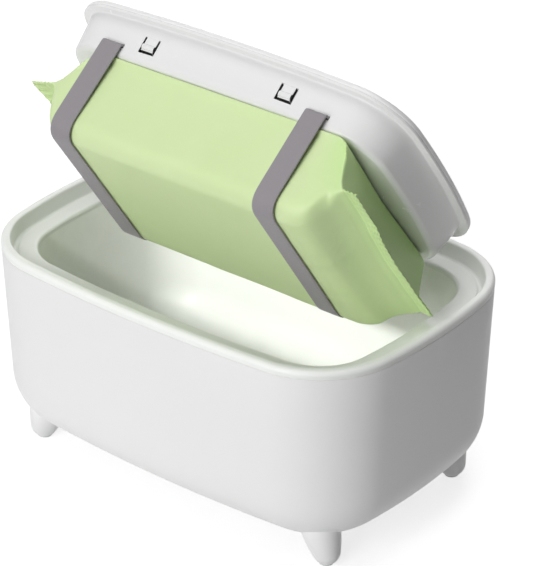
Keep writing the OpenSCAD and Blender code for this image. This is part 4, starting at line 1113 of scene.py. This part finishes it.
def heatFilmMaterial(name, colour, shade, metal):
    # amber film with an etched heating track that runs to and fro
    material, shader, place = newMaterial(name)
    track = texture(place, "Wave", wave_type="BANDS", bands_direction="X", Scale=42.0, Distortion=0.6)
    lines = ramp(track["Fac"], [(0.46, 0.0), (0.54, 1.0)])
    grain = useGrain(place, 1200.0, 0.30, 0.12)
    give(shader, Base_Color=mixColours(lines, mixColours(grain["Tone"], colour, shade), metal),
         Roughness=grain["Roughness"])
    addBump(lines, shader, 0.3, 0.00003)
    return material


def boardMaterial(name, colour, trace, metal):
    # solder mask over straight copper tracks and small pads
    material, shader, place = newMaterial(name)
    tracks = texture(place, "Brick", Scale=240.0, Mortar_Size=0.06)
    pads = texture(place, "Voronoi", Scale=320.0)
    dots = ramp(pads["Distance"], [(0.16, 1.0), (0.20, 0.0)])
    grain = useGrain(place, 1800.0, 0.38, 0.1)
    give(shader, Base_Color=mixColours(dots, mixColours(tracks["Fac"], colour, trace), metal),
         Roughness=grain["Roughness"])
    addBump(tracks["Fac"], shader, 0.2, 0.00003)
    return material


def paint(material, *pieces):
    for piece in pieces:
        piece.data.materials.clear()
        piece.data.materials.append(material)


def dress(material, *names):
    paint(material, *(cadNodes[name] for name in names))


def shadeSlots(material, obj, test):
    # painted shade: a near-black material on the walls of the narrow slots round the tabs, where shade falls
    obj.data.materials.append(material)
    toClosed = onLid.inverted()
    turned = toClosed.to_3x3()
    for face in obj.data.polygons:
        if test(toClosed @ face.center, turned @ face.normal):
            face.material_index = 1


def inSlot(centre, normal):
    near, wayIn = 0.0003, -0.04
    across = abs(abs(centre.x) - plug["tabX"]) - plug["tabWidth"] / 2 - plug["tabSlot"]
    low = -plug["tabTop"] - plug["tabHeight"] - plug["tabSlot"]
    if centre.y > wayIn or across > near:
        return False
    return (abs(across) < near and abs(normal.x) > 0.9 and low - near < centre.z < -plug["tabTop"]) or \
        (abs(centre.z - low) < near and normal.z > 0.9)


def onTabSide(centre, normal):
    return abs(normal.x) > 0.97 or normal.z < -0.97


white = grey(0.85)
paint(mouldedPlastic("shellPlastic", white, grey(0.83), 0.42, shine=0.25), bodyShell)
paint(mouldedPlastic("rimPlastic", (0.83, 0.84, 0.82), (0.81, 0.825, 0.80), 0.34, shine=0.25), rimFrame)
# painted reflection: the tub's white is tinted a little green for the light the pack throws into it
paint(mouldedPlastic("tubPlastic", (0.88, 0.895, 0.855), (0.865, 0.88, 0.84), 0.38), innerTub)
paint(mouldedPlastic("lidPlastic", white, grey(0.84), 0.30), lidCover)
paint(mouldedPlastic("trayPlastic", grey(0.80), grey(0.785), 0.26, wear=0.0), lidTray, *snapTabs)
# painted shade: the near-black that stands for the shade in the slots round the tabs
paintedSlotShade = mouldedPlastic("paintedSlotShade", grey(0.035), grey(0.05), 0.7, wear=0.0)
shadeSlots(paintedSlotShade, lidTray, inSlot)
for tab in snapTabs:
    shadeSlots(paintedSlotShade, tab, onTabSide)
# painted light: the feet are a little paler than the shell, to offset the shade they stand in
paint(mouldedPlastic("footPlastic", grey(0.88), grey(0.865), 0.36), *feet)
# the last green is painted shade, for the pack's shaded right-hand end
paint(filmMaterial("packFilm", (0.68, 0.80, 0.46), (0.615, 0.765, 0.40), (0.53, 0.80, 0.29)), wipesPack)
paint(wovenMaterial("strapElastic", (0.30, 0.28, 0.30), (0.21, 0.195, 0.21)), *straps)
paint(mouldedPlastic("capPlastic", white, grey(0.84), 0.24, grain=3200.0), small["flipCap"])
paint(mouldedPlastic("bezelPlastic", white, grey(0.83), 0.32), small["portBezel"])
paint(mouldedPlastic("buttonPlastic", (0.70, 0.71, 0.72), (0.66, 0.67, 0.68), 0.36), small["capLatch"],
      small["powerButton"], small["modeButton"])
paint(mouldedPlastic("blackPlastic", (0.028, 0.028, 0.030), (0.020, 0.020, 0.022), 0.42, wear=0.1),
      small["powerInlet"])
paint(windowMaterial("smokedWindow", (0.020, 0.022, 0.025), (0.012, 0.013, 0.016)), small["displayWindow"])
paint(siliconeMaterial("clearSilicone", (0.72, 0.74, 0.74), (0.66, 0.68, 0.68)), small["capSeal"],
      small["footPads"])
dress(mouldedPlastic("insidePlastic", (0.035, 0.035, 0.038), (0.025, 0.025, 0.027), 0.45, wear=0.1),
      "display_module", "thermostat")
dress(mouldedPlastic("leadJacket", (0.030, 0.030, 0.032), (0.022, 0.022, 0.024), 0.5, grain=1800.0,
                     wear=0.05), "base_lead", "lid_lead")
dress(drawnMetal("screwSteel", (0.62, 0.62, 0.60), (0.50, 0.50, 0.49), 0.34, (1, 1, 1)), "foot_screws",
      "lid_screws", "plate_screws", "board_screws")
dress(drawnMetal("pinSteel", (0.66, 0.66, 0.65), (0.55, 0.55, 0.54), 0.26, (0.02, 1, 1)), "hinge_pin_left",
      "hinge_pin_right", "hinge_washers", "cap_pin", "strap_bars")
dress(drawnMetal("plateAluminium", (0.77, 0.78, 0.79), (0.69, 0.70, 0.71), 0.40, (0.03, 1, 1)),
      "heating_plate")
dress(fibreMaterial("foamCells", (0.55, 0.55, 0.52), (0.42, 0.42, 0.40), 900.0), "tub_foam")
dress(fibreMaterial("padFibre", (0.74, 0.73, 0.70), (0.60, 0.59, 0.56), 1500.0), "insulation_pad")
dress(fibreMaterial("fuseCeramic", (0.78, 0.76, 0.70), (0.66, 0.64, 0.58), 2400.0, 0.7, 0.00005),
      "thermal_fuse")
dress(heatFilmMaterial("heatFilm", (0.42, 0.17, 0.03), (0.30, 0.11, 0.02), (0.36, 0.30, 0.24)),
      "heating_film")
dress(boardMaterial("boardLaminate", (0.03, 0.16, 0.07), (0.05, 0.24, 0.11), (0.62, 0.60, 0.55)),
      "control_board")
print("materials made")


# camera
camera = {"azimuth": 39.2, "elevation": 28.79, "distance": 1.44301, "lens": 185.7,
          "side": 0.0148, "height": 0.09946}


def placeCamera():
    turn, lift = math.radians(camera["azimuth"]), math.radians(camera["elevation"])
    back = Vector((math.sin(turn) * math.cos(lift), -math.cos(turn) * math.cos(lift), math.sin(lift)))
    aim = Vector((math.cos(turn), math.sin(turn), 0)) * camera["side"] + Vector((0, 0, camera["height"]))
    bpy.ops.object.camera_add(location=aim + back * camera["distance"],
                              rotation=back.to_track_quat("Z", "Y").to_euler())
    obj = bpy.context.object
    obj.name = "mainCamera"
    obj.data.sensor_fit = "VERTICAL"
    obj.data.sensor_height = 36
    obj.data.lens = camera["lens"]
    obj.data.clip_end = 20
    bpy.context.scene.camera = obj


# floor, world and lamps
studio = {
    "ambient": 0.115, "floorWhite": 0.74, "floorRadius": 4.0, "floorInset": 2.2,
    "aim": (0, 0, 0.1), "tubAim": (0.0, 0.03, 0.08),
    # place, energy and width
    "lamps": {
        "keyLamp": ((0.25, -2.34, 0.96), 43.0, 1.7),
        "topLamp": ((0.0, 0.15, 1.9), 15.0, 1.2),
        "backLamp": ((-1.15, 2.05, 1.0), 14.0, 1.7),
    },
    # strips with a grid, which reach past the pack: place, energy, width, height, spread, and what they light
    "strips": {
        "tubLamp": ((-0.040, -0.48, 0.42), 0.72, 0.012, 0.05, 90, innerTub),
        "rimLamp": ((-0.10, -0.60, 0.62), 0.09, 0.3, 0.1, 60, rimFrame),
    },
}


def showBackground(tree, plain, shown, output):
    # rays from the camera, off gloss and through glass meet the shown shader, and the rest the plain one
    rays = addNode(tree, "LightPath").outputs
    mirrored = maths("MAXIMUM", rays["Is Glossy Ray"], rays["Is Transmission Ray"])
    seen = maths("MAXIMUM", rays["Is Camera Ray"], mirrored)
    choice = addNode(tree, "MixShader")
    for socket, value in zip(choice.inputs, (seen, plain, shown)):
        feed(value, socket)
    feed(choice.outputs[0], tree.nodes[output].inputs["Surface"])


def makeFloor():
    deselectAll()
    bpy.ops.mesh.primitive_circle_add(vertices=96, radius=studio["floorRadius"], fill_type="NGON",
                                      location=(0, 0, 0))
    floor = bpy.context.object
    floor.name = "studioFloor"
    editMode(floor, "FACE")
    selectMesh()
    bpy.ops.mesh.inset(thickness=studio["floorInset"])
    objectMode()
    material, shader, place = newMaterial("studioPaper")
    tree = material.node_tree
    paper = texture(place, "Noise", Scale=300.0, Detail=3.0)
    # it throws less light back on the shaded side
    side = ramp(plus(sideways(place), 0.5), [(0.5, 1.0), (0.75, 0.68)])
    sheet = mixColours(paper["Fac"], grey(0.80), grey(0.78))
    give(shader, Base_Color=mixColours(side, grey(0.0), sheet), Roughness=0.9)
    # where it is seen it is white paper that still takes the shadow
    both = addNode(tree, "AddShader")
    feed(addNode(tree, "BsdfDiffuse", Color=grey(0.5)).outputs[0], both.inputs[0])
    feed(addNode(tree, "Emission", Strength=studio["floorWhite"]).outputs[0], both.inputs[1])
    showBackground(tree, shader.outputs[0], both.outputs[0], "Material Output")
    paint(material, floor)


def makeWorld():
    world = bpy.data.worlds.new("studioWorld")
    bpy.context.scene.world = world
    world.use_nodes = True
    tree = world.node_tree
    ambient = tree.nodes["Background"]
    # the room is darker on the shaded side
    across = sideways(addNode(tree, "TexCoord").outputs["Generated"])
    give(ambient, Strength=studio["ambient"],
         Color=ramp(plus(times(across, 0.5), 0.5), [(0.35, 1.0), (0.80, 0.06)]))
    seen = addNode(tree, "Background", Color=grey(1.0))
    showBackground(tree, ambient.outputs[0], seen.outputs[0], "World Output")


def makeLamp(name, place, aim, energy, size):
    deselectAll()
    bpy.ops.object.light_add(type="AREA", location=place)
    lamp = bpy.context.object
    lamp.name = name
    lamp.rotation_euler = (Vector(place) - Vector(aim)).to_track_quat("Z", "Y").to_euler()
    lamp.data.energy = energy
    lamp.data.shape = "DISK"
    lamp.data.size = size
    return lamp


def makeStripLamp(name, place, energy, wide, high, spread, piece):
    lamp = makeLamp(name, place, studio["tubAim"], energy, wide)
    lamp.data.shape = "RECTANGLE"
    lamp.data.size_y = high
    lamp.data.spread = math.radians(spread)
    lamp.visible_camera = False
    receivers = bpy.data.collections.new(name + "Receivers")
    receivers.objects.link(piece)
    lamp.light_linking.receiver_collection = receivers


makeFloor()
makeWorld()
for name, (place, energy, size) in studio["lamps"].items():
    makeLamp(name, place, studio["aim"], energy, size)
for name, values in studio["strips"].items():
    makeStripLamp(name, *values)
bpy.context.scene.view_settings.view_transform = "Standard"
placeCamera()
